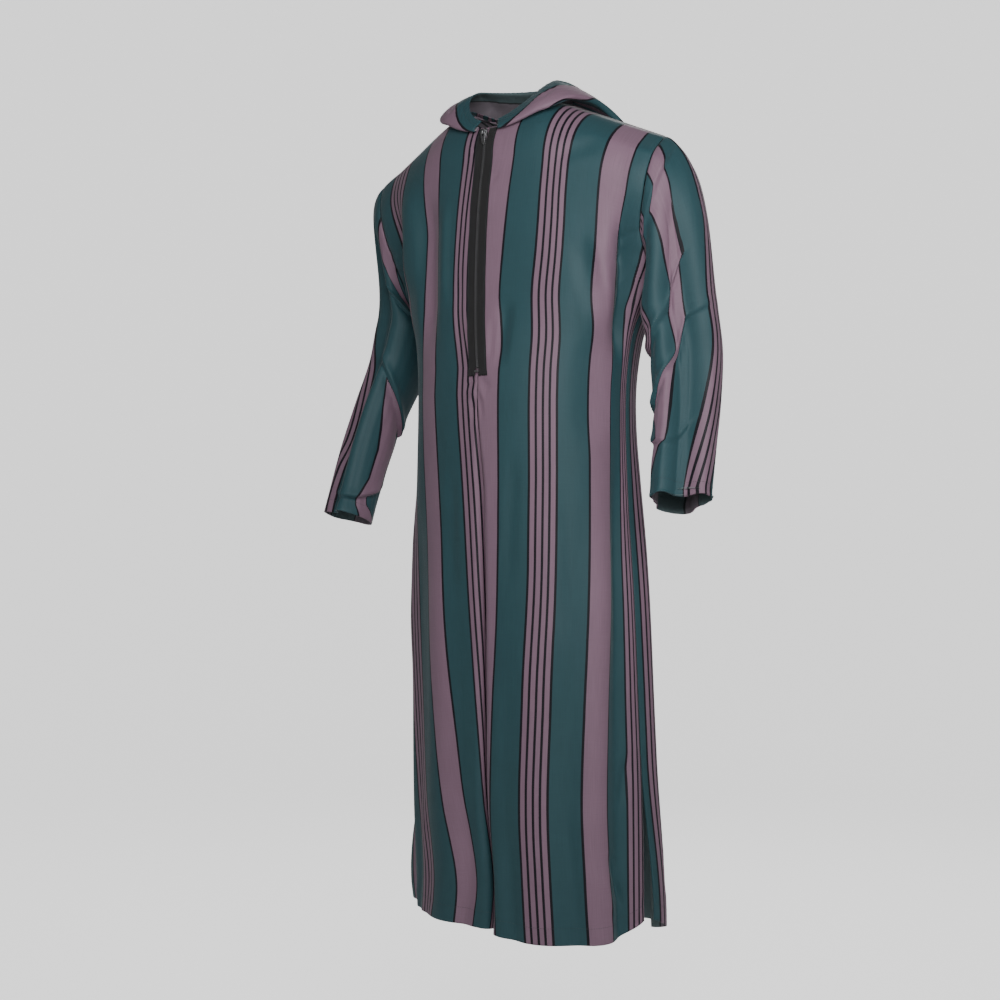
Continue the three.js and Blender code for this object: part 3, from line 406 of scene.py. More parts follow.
# Edges of the stripes on a sleeve's front, which the folds carry round it, above the first
# fold, between each and the next, and below the last: the places round the sleeve where the
# wide stripe starts and ends and the narrow ones start again, by height
SLEEVE_EDGES = {
    "left": (
        stripe_edges(
            (-0.080, 0.026, 0.088, 0.140), (-0.114, 0.052, 0.090, 0.140), (-0.160, 0.060, 0.104, 0.151)),
        stripe_edges(
            (-0.118, 0.055, 0.148, 0.194), (-0.183, 0.046, 0.146, 0.192), (-0.236, 0.038, 0.116, 0.170),
            (-0.296, 0.034, 0.080, 0.148), (-0.364, 0.040, 0.068, 0.105), (-0.400, 0.040, 0.066, 0.092)),
        stripe_edges(
            (-0.250, 0.043, 0.094, 0.150), (-0.344, 0.047, 0.089, 0.136), (-0.398, 0.040, 0.080, 0.127),
            (-0.450, 0.040, 0.076, 0.123)),
        stripe_edges(
            (-0.400, 0.083, 0.124, 0.171), (-0.475, 0.081, 0.122, 0.169), (-0.526, 0.081, 0.097, 0.144)),
        stripe_edges(
            (-0.500, 0.086, 0.130, 0.177), (-0.531, 0.093, 0.137, 0.184), (-0.587, 0.107, 0.151, 0.198),
            (-0.616, 0.110, 0.154, 0.201)),
    ),
    "right": (
        stripe_edges(
            (-0.150, 0.112, 0.156, 0.203), (-0.205, 0.138, 0.182, 0.229), (-0.235, 0.158, 0.202, 0.249),
            (-0.300, 0.208, 0.252, 0.299), (-0.500, 0.216, 0.260, 0.307)),
        stripe_edges(
            (-0.410, 0.113, 0.150, 0.197), (-0.457, 0.118, 0.152, 0.205), (-0.493, 0.123, 0.180, 0.227),
            (-0.526, 0.127, 0.180, 0.227), (-0.572, 0.121, 0.166, 0.213), (-0.604, 0.104, 0.150, 0.197)),
        stripe_edges(
            (-0.590, 0.105, 0.126, 0.173), (-0.615, 0.109, 0.132, 0.179), (-0.645, 0.124, 0.168, 0.215)),
    ),
}
SLEEVE_SEAM = {"left": 0.5, "right": 0.625}
SLEEVE_SIDES = 184
SLEEVE_RING_STEP = 0.048
CAP_ROWS = 84
CUFF_LAP_FADE = 0.020
SLEEVE_HEAD_DIP = 1.2
UNDERARM_DIP = 0.8
CUFF_PUCKER = 0.8

# Hood, thrown back: reach of its fold from the neck seam, height of its opening edge and
# fullness between its layers, by angle round the neck from the centre front
HOOD_PROFILE = table(
    "angle reach rim fullness",
    (0, 0.006, -0.033, 0.005),
    (20, 0.007, -0.027, 0.006),
    (45, 0.009, -0.006, 0.008),
    (70, 0.018, 0.020, 0.010),
    (90, 0.030, 0.033, 0.010),
    (110, 0.062, 0.037, 0.011),
    (130, 0.128, 0.039, 0.013),
    (155, 0.215, 0.040, 0.017),
    (180, 0.252, 0.040, 0.022),
)
HOOD_RIM_HALF_WIDTH = 0.073
HOOD_RIM_HALF_DEPTH = 0.071
HOOD_RIM_CENTRE_Y = -0.038
HOOD_FIRST_ANGLE = 13
HOOD_ROW_POWER = 1.6
HOOD_RISE_POWER = 1.6
HOOD_SEAM_LIFT = 0.0020
HOOD_LIFT = 0.007
HOOD_SHOULDER_LIFT = 0.004
HOOD_LIFT_REACH = 0.036
HOOD_BULGE = 0.003
HOOD_COLUMNS = 170
HOOD_UNDER_ROWS = 26
HOOD_TURN_ROWS = 14
HOOD_OUTER_ROWS = 66
HOOD_HEM = 0.012
HOOD_STITCH_DEPTH = 0.010

# Creases of the hood's outer layer: a line from (a1, t1) to (a2, t2), half its breadth in
# degrees, and its depth; a is the angle round the neck, past 180 on the wearer's right, and
# t is how far it lies from the fold, 0, to the rim, 1, counted as 100 degrees
HOOD_CREASES = crease_table(
    (118, 20, 150, 78, 7, -0.0042),
    (104, 34, 122, 84, 5, -0.0026),
    (238, 18, 212, 74, 7, -0.0046),
    (256, 36, 240, 82, 5, -0.0028),
    (168, 8, 176, 62, 8, -0.0052),
    (196, 10, 188, 56, 7, 0.0034),
    (142, 10, 158, 58, 7, 0.0034),
    (222, 8, 204, 50, 7, -0.0036),
    (60, 30, 84, 76, 6, -0.0014),
    (300, 30, 276, 76, 6, -0.0014),
)

# Stripe repeat: where each front's, the back's and the hood's first column falls in it
LEFT_PHASE = 0.0130
RIGHT_PHASE = 0.0965
BACK_PHASE = 0.0220
HOOD_PHASE = 0.1595

# Rows and columns of the cloth's mesh
FRONT_STEPS = (0.0, 0.0018, 0.060, 0.0045, 0.285, 0.0025, PANEL_HALF_WIDTH)
BACK_STEPS = (0, 0.0042, 0.285, 0.0025, PANEL_HALF_WIDTH)
BACK_TOP_STEPS = (0, 0.002, 0.012, 0.004, 0.040)
NECK_ROWS = 14
HEM_ROWS_DEPTH = 0.040
HEM_ROWS_STEP = 0.0025

# Seeds of the cloth's faint unevenness and of its hems' puckers
RIPPLE_SEEDS = {"front_left": 3, "front_right": 5, "back": 21, "left": 31, "right": 33, "hood": 41}
PUCKER_SEEDS = {"front": 11, "back": 13, "cuff": 35}

# Zip tapes, coil and hardware
TAPE_LIFT = 0.0006
TAPE_WALL = 0.0010
TAPE_RIB = 0.00010
TAPE_WAVE = 0.00035
TAPE_FOOT = 0.014
TAPE_FOOT_FLARE = {1: 0.14, -1: 0.04}
TAPE_FOOT_WAVE = 0.0009
TAPE_STITCH_PLACE = 0.86
PART_GAP = 0.00035
COIL_WIDTH_SHARE = 0.86
COIL_LEAN = 0.34
COIL_WIRE_RADIUS = 0.00036
SLIDER_PLATE = 0.0032
BRIDGE_HALF_LENGTH = 0.0036
BRIDGE_HALF_WIDTH = 0.0015
BRIDGE_HALF_THICKNESS = 0.0009
BRIDGE_ARCH = 0.55
PULL_BAR = 0.0016
PULL_CORNER = 0.0004
PULL_FOOT_RADIUS = 0.0025
PULL_FRAME_END = -0.006
PULL_EYE_HALF = 0.0022
PULL_EYE_CORNER = 0.0006
PULL_HOLE_RADIUS = 0.0010
STOP_CORNER = 0.0009

# Right half of the slider's outline from its notch round to its foot, as shares of its half
# width and half height
SLIDER_HALF = ((0.22, 0.86), (0.94, 1.0), (1.0, 0.96), (0.92, 0.2), (0.70, -0.5), (0.68, -1.0))
SLIDER_NOTCH = (0, 0.70)
BRIDGE_SECTION = ((-0.8, -1), (0.8, -1), (1, -0.7), (1, 0.7), (0.8, 1), (-0.8, 1), (-1, 0.7), (-1, -0.7))

# Studio: the floor's flat part, the sweep up from it and the wall above, and each light's
# place to the camera's right, toward the camera and up, the height that it faces, its two
# sides and its share of the key light's power
FLOOR_REACH = 3.6
SWEEP_RADIUS = 1.6
WALL_TOP = 4.6
FLOOR_COLOUR = (0.86, 0.86, 0.86)
FLOOR_SEEN = 1.4
FLOOR_GIVEN = 0.05
WORLD_LIGHT = 0.09
LIGHTS = (
    ("key", (0.15, 1.5, 0.12), -0.33, (1.0, 0.8), 1.0),
    ("fill", (1.9, 1.5, 0.2), -0.3, (1.0, 1.2), 0.14),
    ("back", (0.3, -2.2, 0.9), -0.45, (1.8, 1.6), 1.3),
)
CAMERA_LENS_MM = 72.8
CAMERA_AIM_LEFT = 0.0469
CAMERA_AIM_HEIGHT = -0.609

CLOTH_UV = "cloth"


def length_setting(name, description, default, low, high, digits=4):
    return bpy.props.FloatProperty(
        name=name, description=description, default=default, min=low, max=high,
        unit="LENGTH", precision=digits)


def colour_setting(name, description, default):
    return bpy.props.FloatVectorProperty(
        name=name, description=description, default=default, subtype="COLOR", min=0.0, max=1.0)


class ThobeCloth(bpy.types.PropertyGroup):
    """Sizes of the cloth and its hems"""

    wall: length_setting("Wall", "Thickness of the cloth", 0.0009, 0.0004, 0.003)
    hem: length_setting("Hem", "Depth of the turned-up hem", 0.025, 0.005, 0.06)
    slit_hem: length_setting("Slit hem", "Width of the turned edge of a side slit", 0.009, 0.004, 0.03)
    fine_step: length_setting("Mesh step", "Spacing of the cloth's rows", 0.0052, 0.002, 0.02)
    seam_dip: length_setting("Seam dip", "How far an edge sinks into its seam", 0.0009, 0.0, 0.003)


class ThobeStripes(bpy.types.PropertyGroup):
    """Widths and colours of the woven stripes"""

    wide: length_setting("Wide stripe", "Width of the wide mauve stripe", 0.038, 0.01, 0.1)
    wide_line: length_setting("Wide stripe's edge", "Dark line on each side of it", 0.003, 0.0005, 0.01)
    ground: length_setting("Ground", "Width of green between stripe groups", 0.047, 0.01, 0.1)
    narrow: length_setting("Narrow stripe", "Width of each of four narrow stripes", 0.007, 0.002, 0.02)
    narrow_line: length_setting("Narrow line", "Dark line beside each of them", 0.0035, 0.0005, 0.01)
    green: colour_setting("Green", "Ground colour", (0.032, 0.096, 0.114))
    mauve: colour_setting("Mauve", "Stripe colour", (0.290, 0.178, 0.246))
    line: colour_setting("Line", "Colour of the dark lines", (0.0055, 0.0040, 0.0100))


class ThobeZip(bpy.types.PropertyGroup):
    """Sizes and colours of the zip"""

    tooth_pitch: length_setting("Tooth pitch", "Spacing of the coil's turns", 0.00165, 0.0008, 0.004, 5)
    coil_depth: length_setting("Coil depth", "Half the depth of a coil's turn", 0.00082, 0.0003, 0.002, 5)
    tape: colour_setting("Tape", "Colour of the woven tapes", (0.0125, 0.0120, 0.0130))
    metal: colour_setting("Metal", "Colour of the slider, pull and stop", (0.060, 0.060, 0.064))


class ThobeStitching(bpy.types.PropertyGroup):
    """Sizes and colour of the topstitching"""

    pitch: length_setting("Pitch", "Distance from stitch to stitch", 0.0036, 0.0015, 0.01, 5)
    length: length_setting("Length", "Length of a stitch", 0.0028, 0.001, 0.008, 5)
    thread: length_setting("Thread", "Thickness of the thread", 0.00045, 0.0002, 0.001, 5)
    colour: colour_setting("Colour", "Colour of the thread", (0.016, 0.030, 0.036))


class ThobeStage(bpy.types.PropertyGroup):
    """Floor, lights and camera"""

    azimuth: bpy.props.FloatProperty(
        name="Azimuth", description="Turn of the camera round the garment",
        default=math.radians(35), subtype="ANGLE")
    distance: bpy.props.FloatProperty(
        name="Distance", description="Distance of the camera from the garment's middle line",
        default=3.160, min=1.0, max=8.0, unit="LENGTH")
    eye_level: bpy.props.FloatProperty(
        name="Eye level", description="Height of the camera", default=-0.679, unit="LENGTH")
    floor_level: bpy.props.FloatProperty(
        name="Floor level", description="Height of the floor", default=-1.520, unit="LENGTH")
    key_power: bpy.props.FloatProperty(
        name="Key light", description="Power of the key light", default=16.0,
        min=0.0, max=500.0, subtype="POWER", unit="POWER")


def smooth(t):
    c = np.clip(t, 0, 1)
    return c * c * (3 - 2 * c)


def mix(a, b, t):
    return a + (b - a) * t


def hermite(t, start, start_pull, end, end_pull):
    """Smooth way from start to end that leaves and reaches them along their pulls."""
    t2, t3 = t * t, t * t * t
    leaving = start * (2 * t3 - 3 * t2 + 1) + start_pull * (t3 - 2 * t2 + t)
    return leaving + end * (3 * t2 - 2 * t3) + end_pull * (t3 - t2)


def read(rows, key, column, value):
    """Smooth reading of one column of a table by its key column."""
    order = np.argsort(rows[key])
    x, y = rows[key][order], rows[column][order]
    slope = np.empty_like(y)
    slope[1:-1] = (y[2:] - y[:-2]) / (x[2:] - x[:-2])
    slope[0] = (y[1] - y[0]) / (x[1] - x[0])
    slope[-1] = (y[-1] - y[-2]) / (x[-1] - x[-2])
    value = np.clip(value, x[0], x[-1])
    i = np.clip(np.searchsorted(x, value, side="right") - 1, 0, len(x) - 2)
    span = x[i + 1] - x[i]
    return hermite((value - x[i]) / span, y[i], span * slope[i], y[i + 1], span * slope[i + 1])


class Outlines:
    """Half outlines of the body on one side, by height, from centre front to centre back."""

    LEVELS = 260
    SAMPLES = 641
    TURNS = 1440

    def __init__(self, side):
        self.z = np.linspace(-1.280, 0.010, self.LEVELS)
        width = read(BODY_SECTIONS, "z", "left" if side > 0 else "right", self.z)[:, None]
        front = read(BODY_SECTIONS, "z", "front", self.z)[:, None]
        back = read(BODY_SECTIONS, "z", "back", self.z)[:, None]
        angle = np.linspace(0, math.pi, self.TURNS + 1)[None, :]
        power = 2 / SECTION_POWER
        depth = np.where(angle < math.pi / 2, front, back)
        x = width * np.abs(np.sin(angle)) ** power
        y = -np.sign(np.cos(angle)) * depth * np.abs(np.cos(angle)) ** power
        step = np.hypot(np.diff(x, axis=1), np.diff(y, axis=1))
        s = np.concatenate([np.zeros((self.LEVELS, 1)), np.cumsum(step, axis=1)], axis=1)
        self.length = s[:, -1]
        self.side_length = s[:, self.TURNS // 2]
        share = np.linspace(0, 1, self.SAMPLES)

        def evenly(values):
            return np.array([np.interp(share * s[j, -1], s[j], values[j]) for j in range(self.LEVELS)])

        self.x, self.y = evenly(x), evenly(y)
        dx, dy = np.gradient(self.x, axis=1), np.gradient(self.y, axis=1)
        size = np.hypot(dx, dy)
        self.nx, self.ny = dy / size, -dx / size

    def level(self, column, z):
        return np.interp(z, self.z, column)

    def along(self, s, z):
        """Place and outward normal at the distance s from the centre front."""
        mirrored = np.where(s < 0, -1.0, 1.0)
        f = np.clip(np.abs(s) / self.level(self.length, z), 0, 1) * (self.SAMPLES - 1)
        g = np.clip((z - self.z[0]) / (self.z[1] - self.z[0]), 0, self.LEVELS - 1)
        i = np.minimum(f.astype(int), self.SAMPLES - 2)
        j = np.minimum(g.astype(int), self.LEVELS - 2)
        a, b = f - i, g - j

        def pick(grid):
            low = mix(grid[j, i], grid[j, i + 1], a)
            return mix(low, mix(grid[j + 1, i], grid[j + 1, i + 1], a), b)

        return mirrored * pick(self.x), pick(self.y), mirrored * pick(self.nx), pick(self.ny)


OUTLINES = {1: Outlines(1), -1: Outlines(-1)}


def centre_fold(u, tuck):
    """Cloth in the centre fold: its distance along the outline and its depth behind it."""
    lip = np.minimum(FOLD_LIP_RADIUS, tuck * 2)
    depth = tuck + FOLD_LIP_SHARE * lip
    floor = FOLD_FLOOR_HALF * np.clip(tuck / FOLD_FLOOR_TUCK, 0, 1)
    on_lip = u - floor - (depth - lip)
    turn = on_lip / np.maximum(lip, 1e-9)
    cases = [tuck <= 0, u <= floor, on_lip <= 0, turn >= math.pi / 2]
    s = np.select(
        cases,
        [u, u, floor + 0 * u, floor + lip + on_lip - lip * math.pi / 2],
        floor + lip * (1 - np.cos(turn)),
    )
    inward = np.select(
        cases, [0 * u, depth, depth - (u - floor), 0 * u], lip * (1 - np.sin(turn))
    )
    return s, inward


def crease_depth(creases, u, z, run_out=-math.inf):
    """Depth of a table of creases; one that ends at run_out or lower doesn't fade there."""
    total = np.zeros_like(u)
    for u1, z1, u2, z2, width, depth in zip(*creases.values()):
        du, dz = u2 - u1, z2 - z1
        along = np.clip(((u - u1) * du + (z - z1) * dz) / (du * du + dz * dz), 0, 1)
        away = np.hypot(u - u1 - du * along, z - z1 - dz * along)
        fade = 1 if z2 <= run_out else smooth((1 - along) * 3)
        total += depth * smooth(along * 3) * fade * (1 - smooth(away / (width * 1.5)))
    return total


def shoulder_x(u):
    share = (SHOULDER_HALF_WIDTH - NECK_HALF_WIDTH) / (SHOULDER_FLAT_END - NECK_HALF_WIDTH)
    return np.where(u <= NECK_HALF_WIDTH, u, NECK_HALF_WIDTH + (u - NECK_HALF_WIDTH) * share)


def cloth_height(side, u, h):
    fall = SHOULDER_DROP * np.maximum(0, u - NECK_HALF_WIDTH)
    fall = fall / (SHOULDER_FLAT_END - NECK_HALF_WIDTH)
    slope = fall * (1 - smooth(h / SHOULDER_SLOPE_FADE))
    hem_share = smooth((h - HEM_RISE_START) / (GARMENT_LENGTH - HEM_RISE_START))
    return -h - slope + read(HEM_RISE, "u", "rise", side * u) * hem_share


def zip_parting(h):
    return ZIP_PARTING * smooth((ZIP_END - h) / ZIP_CLOSING_LENGTH)


def zip_wander(u, z):
    """Sideways move of the cloth and the zip at the distance u from the centre front."""
    return read(ZIP_WANDER, "z", "x", z) * (1 - smooth(u / ZIP_WANDER_REACH))


def side_seam_distance(side, z):
    shift = read(CENTRE_FOLD, "z", "shift", z)
    tuck = read(CENTRE_FOLD, "z", "tuck", z)
    eased = SIDE_EASE_START + side * shift - tuck
    reach = OUTLINES[side].level(OUTLINES[side].side_length, z)
    return np.minimum(reach, eased + (PANEL_HALF_WIDTH - SIDE_EASE_START))


def front_distance(side, u, h, z):
    """Place on the outline of a cloth point of a front, and its depth in the centre fold."""
    shift = read(CENTRE_FOLD, "z", "shift", z)
    tuck = read(CENTRE_FOLD, "z", "tuck", z)
    seam = side_seam_distance(side, z) - SEAM_HALF_GAP

    def place(v):
        s, inward = centre_fold(np.maximum(v, SEAM_HALF_GAP), tuck)
        return s + zip_parting(h) * (1 - s / PANEL_HALF_WIDTH) + side * shift, inward

    s, inward = place(u)
    start = place(np.full_like(u, SIDE_EASE_START))[0]
    share = (u - SIDE_EASE_START) / (PANEL_HALF_WIDTH - SIDE_EASE_START)
    beyond = u > SIDE_EASE_START
    drawn = slit_swing(u, h, SLIT_DRAWN_BACK)
    return np.where(beyond, mix(start, seam, share), s) - drawn, np.where(beyond, 0, inward)


def slit_swing(u, h, amount):
    down = smooth((h - SLIT_TOP) / SLIT_HEIGHT)
    return amount * down * smooth((u - SLIT_SWING_START) / SLIT_SWING_BREADTH)


def forward_share(h, rounding):
    """How much of its way forward or back from the shoulder seam the cloth has gone at h."""
    return np.sqrt(1 - (1 - np.clip(h / rounding, 0, 1)) ** 2)


def ripple(u, z, seed):
    """Faint unevenness of hanging cloth, about half a millimetre deep."""
    rng = np.random.default_rng(seed)
    total = np.zeros_like(u)
    for _ in range(9):
        across = rng.uniform(14, 52)
        down = rng.uniform(3, 15)
        start = rng.uniform(0, 2 * math.pi)
        total += np.sin(across * u + down * z + start) * rng.uniform(0.6, 1.0)
    return total * 0.00012


def body_point(panel, side, u, h, creases=None, seed=None):
    """Points of the body cloth, as an array of x, y, z; side 1 is the wearer's left."""
    u, h = np.broadcast_arrays(np.asarray(u, float), np.asarray(h, float))
    z = cloth_height(side, u, h)
    shape = OUTLINES[side]
    is_front = panel == "front"
    if is_front:
        s, inward = front_distance(side, u, h, z)
    else:
        length = shape.level(shape.length, z)
        width = length - side_seam_distance(side, z) - SEAM_HALF_GAP
        s, inward = length - (u / PANEL_HALF_WIDTH) * width, 0.0
    px, py, nx, ny = shape.along(s, z)
    forward = forward_share(h, FRONT_ROUNDING if is_front else BACK_ROUNDING)
    offset = -inward * forward
    offset = offset + slit_swing(u, h, SLIT_FRONT_SWING if is_front else SLIT_BACK_SWING)
    if creases is not None:
        offset = offset + crease_depth(creases, u, z, -GARMENT_LENGTH) * forward
    if seed is not None:
        offset = offset + ripple(u, z, seed) * smooth((h - 0.04) / 0.1)
    ease = 1 - smooth((u - NECK_HALF_WIDTH) / SHOULDER_EASE)
    edge_y = NECK_LINE_Y * ease + (-1 if is_front else 1) * SHOULDER_HALF_GAP
    arm = np.exp(-(((u - ARM_ROUND_U) / ARM_ROUND_BREADTH) ** 2))
    arm = arm * np.exp(-(((h - ARM_ROUND_H) / ARM_ROUND_HEIGHT) ** 2)) * smooth(h / ARM_ROUND_START)
    x = mix(shoulder_x(u), px, smooth(h / WIDTH_BLEND_DEPTH)) + nx * offset
    x = x + ARM_ROUND_OUTWARD * arm
    y = mix(edge_y, py, forward) + ny * offset
    y = y + (-ARM_ROUND_FRONT if is_front else ARM_ROUND_BACK) * arm
    wander = zip_wander(u, z) if is_front else 0
    return np.stack([side * x + wander, y, z], axis=-1)


def neck_edge(h, drop):
    return np.where(h < drop, NECK_HALF_WIDTH * np.sqrt(np.maximum(0, 1 - (h / drop) ** 2)), 0)


def armhole_edge(h):
    share = np.clip(h / ARMHOLE_DEPTH, 0, 1)
    out = (PANEL_HALF_WIDTH - SHOULDER_FLAT_END) * share ** 5
    return SHOULDER_FLAT_END - ARMHOLE_HOLLOW * np.sin(math.pi * share) + out


def spans(*stops):
    """Even steps between stops, given as place, step, place, step, ... place."""
    values = [stops[0]]
    for k in range(0, len(stops) - 2, 2):
        start, step, end = stops[k:k + 3]
        count = max(1, round((end - start) / step))
        values.extend(start + (end - start) * (i + 1) / count for i in range(count))
    return np.array(values)


def grid_normals(grid, wrapped=False):
    """Unit normals of a grid, from its rows running down and its columns running across."""
    along = np.gradient(grid, axis=0)
    if wrapped:
        across = np.roll(grid, -1, axis=1) - np.roll(grid, 1, axis=1)
    else:
        across = np.gradient(grid, axis=1)
    normal = np.cross(along, across)
    return normal / np.maximum(np.linalg.norm(normal, axis=-1, keepdims=True), 1e-12)


def cloth_shell(name, outer, uv, thickness, wrapped=False):
    """Closed thin wall between a grid of points and the same grid moved along its normals.

    uv has one more column than a wrapped grid, so that its seam has both its edges.
    """
    rows, columns = outer.shape[:2]
    inner = outer + grid_normals(outer, wrapped) * thickness[..., None]
    points = np.concatenate([outer.reshape(-1, 3), inner.reshape(-1, 3)])
    back = rows * columns
    j, i = np.meshgrid(np.arange(rows - 1), np.arange(uv.shape[1] - 1), indexing="ij")
    j, i = j.ravel(), i.ravel()
    nxt = (i + 1) % columns if wrapped else i + 1
    corners = [(j, i, i), (j + 1, i, i), (j + 1, nxt, i + 1), (j, nxt, i + 1)]
    front = np.stack([row * columns + column for row, column, _ in corners], axis=1)
    front_uv = np.stack([uv[row, place] for row, _, place in corners], axis=1)
    faces = [front, front[:, ::-1] + back]
    face_uvs = [front_uv, front_uv[:, ::-1]]
    count = len(front)

    def rim(cells, cell_uv):
        around = [cells[:-1], cells[:-1] + back, cells[1:] + back, cells[1:]]
        faces.append(np.stack(around, axis=1))
        face_uvs.append(np.stack([cell_uv[:-1], cell_uv[:-1], cell_uv[1:], cell_uv[1:]], axis=1))

    ring = np.arange(uv.shape[1]) % columns if wrapped else np.arange(columns)
    rim(ring[::-1], uv[0, ::-1])
    rim((rows - 1) * columns + ring, uv[-1])
    if not wrapped:
        rim(np.arange(rows) * columns, uv[:, 0])
        rim((np.arange(rows) * columns + columns - 1)[::-1], uv[::-1, -1])
    faces, face_uvs = np.concatenate(faces), np.concatenate(face_uvs)
    a, b, c, d = (points[faces[:, k]] for k in range(4))
    volume = np.einsum("ij,ij->i", a, np.cross(b, c) + np.cross(c, d)).sum()
    if volume < 0:
        faces, face_uvs = faces[:, ::-1], face_uvs[:, ::-1]
    mesh = mesh_of(name, points, faces)
    layer = mesh.uv_layers.new(name=CLOTH_UV)
    layer.data.foreach_set("uv", face_uvs.astype(np.float32).ravel())
    smooth_faces = np.arange(len(faces)) < 2 * count
    mesh.polygons.foreach_set("use_smooth", smooth_faces)
    mesh.polygons.foreach_set("material_index", (np.arange(len(faces)) // count == 1).astype(int))
    return link(name, mesh)


def mesh_of(name, points, faces):
    """Mesh of equal-sided faces from numpy arrays."""
    mesh = bpy.data.meshes.new(name)
    sides = faces.shape[1]
    mesh.vertices.add(len(points))
    mesh.vertices.foreach_set("co", points.astype(np.float32).ravel())
    mesh.loops.add(faces.size)
    mesh.loops.foreach_set("vertex_index", faces.astype(np.int32).ravel())
    mesh.polygons.add(len(faces))
    mesh.polygons.foreach_set("loop_start", np.arange(0, faces.size, sides, dtype=np.int32))
    mesh.update(calc_edges=True)
    mesh.validate()
    return mesh


def link(name, data):
    obj = bpy.data.objects.new(name, data)
    bpy.context.scene.collection.objects.link(obj)
    return obj


def finish_cloth(obj, node):
    """Materials, body and replaced solid of one cloth piece."""
    obj.data.materials.append(cloth_material())
    obj.data.materials.append(cloth_reverse_material())
    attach(obj, "garment")
    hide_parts(node)


def hem_share(distance, depth):
    """One inside a turned hem and nothing beyond it, with a short step between them."""
    return 1 - smooth((distance - depth) / 0.0015 + 0.5)


def seam_dip(distance):
    return -bpy.context.scene.thobe_cloth.seam_dip * np.exp(-((distance / 0.0028) ** 2))


def hem_pucker(along, above, seed):
    """Small uneven puckers that a hem's stitching draws up."""
    rng = np.random.default_rng(seed)
    total = np.zeros_like(along)
    for _ in range(5):
        total += np.sin(along * rng.uniform(110, 240) + rng.uniform(0, 6.3)) * rng.uniform(0.5, 1.0)
    depth = bpy.context.scene.thobe_cloth.hem
    return total * 0.00022 * np.exp(-(((above - depth) / 0.013) ** 2))


def rows_from(top):
    """Rows of a panel from the depth top to the hem, where they lie closer together."""
    step = bpy.context.scene.thobe_cloth.fine_step
    return spans(top, step, GARMENT_LENGTH - HEM_ROWS_DEPTH, HEM_ROWS_STEP, GARMENT_LENGTH)


def front_rows():
    neck = FRONT_NECK_DROP * np.sin(np.linspace(0, math.pi / 2, NECK_ROWS))
    return np.concatenate([neck, rows_from(FRONT_NECK_DROP)[1:]])


def turned_edges(above, to_edge, h):
    """One where a panel's hem or slit edge is turned under, and nothing elsewhere."""
    cloth = bpy.context.scene.thobe_cloth
    return np.maximum(hem_share(above, cloth.hem), hem_share(to_edge, cloth.slit_hem) * (h > SLIT_TOP))


def move_out(grid, amount, sign):
    """Moves a grid along its outward normals; sign turns its own normals outward."""
    return grid + grid_normals(grid) * (sign * amount)[..., None]


def front_cloth(side):
    """One front: its outer grid, its flat places and its wall."""
    name = "front_left" if side > 0 else "front_right"
    rows = front_rows()[:, None]
    share = spans(*FRONT_STEPS)[None, :] / PANEL_HALF_WIDTH
    inner, outer = neck_edge(rows, FRONT_NECK_DROP), armhole_edge(rows)
    u = mix(inner, outer, share)
    h = np.broadcast_to(rows, u.shape)
    grid = body_point("front", side, u, h, PANEL_CREASES[name], RIPPLE_SEEDS[name])
    to_side = np.where(h < ARMHOLE_DEPTH, outer - u, PANEL_HALF_WIDTH - u)
    dip = np.where(h < SLIT_TOP, seam_dip(to_side), 0)
    on_shoulder = (u > inner + 0.004) & (u > SHOULDER_SEAM_START)
    dip = dip + np.where(on_shoulder, seam_dip(h), 0)
    dip = dip + np.where(h > ZIP_END + 0.004, seam_dip(u), 0)
    above = GARMENT_LENGTH - h
    dip = dip + hem_pucker(u, above, PUCKER_SEEDS["front"])
    outward = 1 if side > 0 else -1
    grid = move_out(grid, dip, outward)
    wall = bpy.context.scene.thobe_cloth.wall * (1 + turned_edges(above, PANEL_HALF_WIDTH - u, h))
    lean, start = (LEFT_LEAN, LEFT_LEAN_START) if side > 0 else (RIGHT_LEAN, RIGHT_LEAN_START)
    phase = LEFT_PHASE if side > 0 else RIGHT_PHASE
    across = u + phase - read(lean, "z", "lean", grid[..., 2]) * smooth(u / start)
    uv = np.stack([across, -h], axis=-1)
    return grid, uv, -outward * wall


def back_point(side, c, row, seed):
    """Points of the back at the grid place c across and row down; its upper edge dips."""
    u = np.minimum(armhole_edge(row) * c / PANEL_HALF_WIDTH, PANEL_HALF_WIDTH)
    inside = np.maximum(0, 1 - (u / NECK_HALF_WIDTH) ** 2)
    h = row + BACK_NECK_DROP * np.sqrt(inside) * (1 - smooth(row / BACK_DIP_FADE))
    left = body_point("back", 1, u, h, PANEL_CREASES["back_left"], seed)
    right = body_point("back", -1, u, h, PANEL_CREASES["back_right"], seed + 1)
    own, other = (left, right) if side > 0 else (right, left)
    other = other * np.array([-1, 1, 1])
    share = 0.5 * (1 - smooth(u / BACK_CENTRE_BLEND))
    return mix(own, other, share[..., None]), u, h


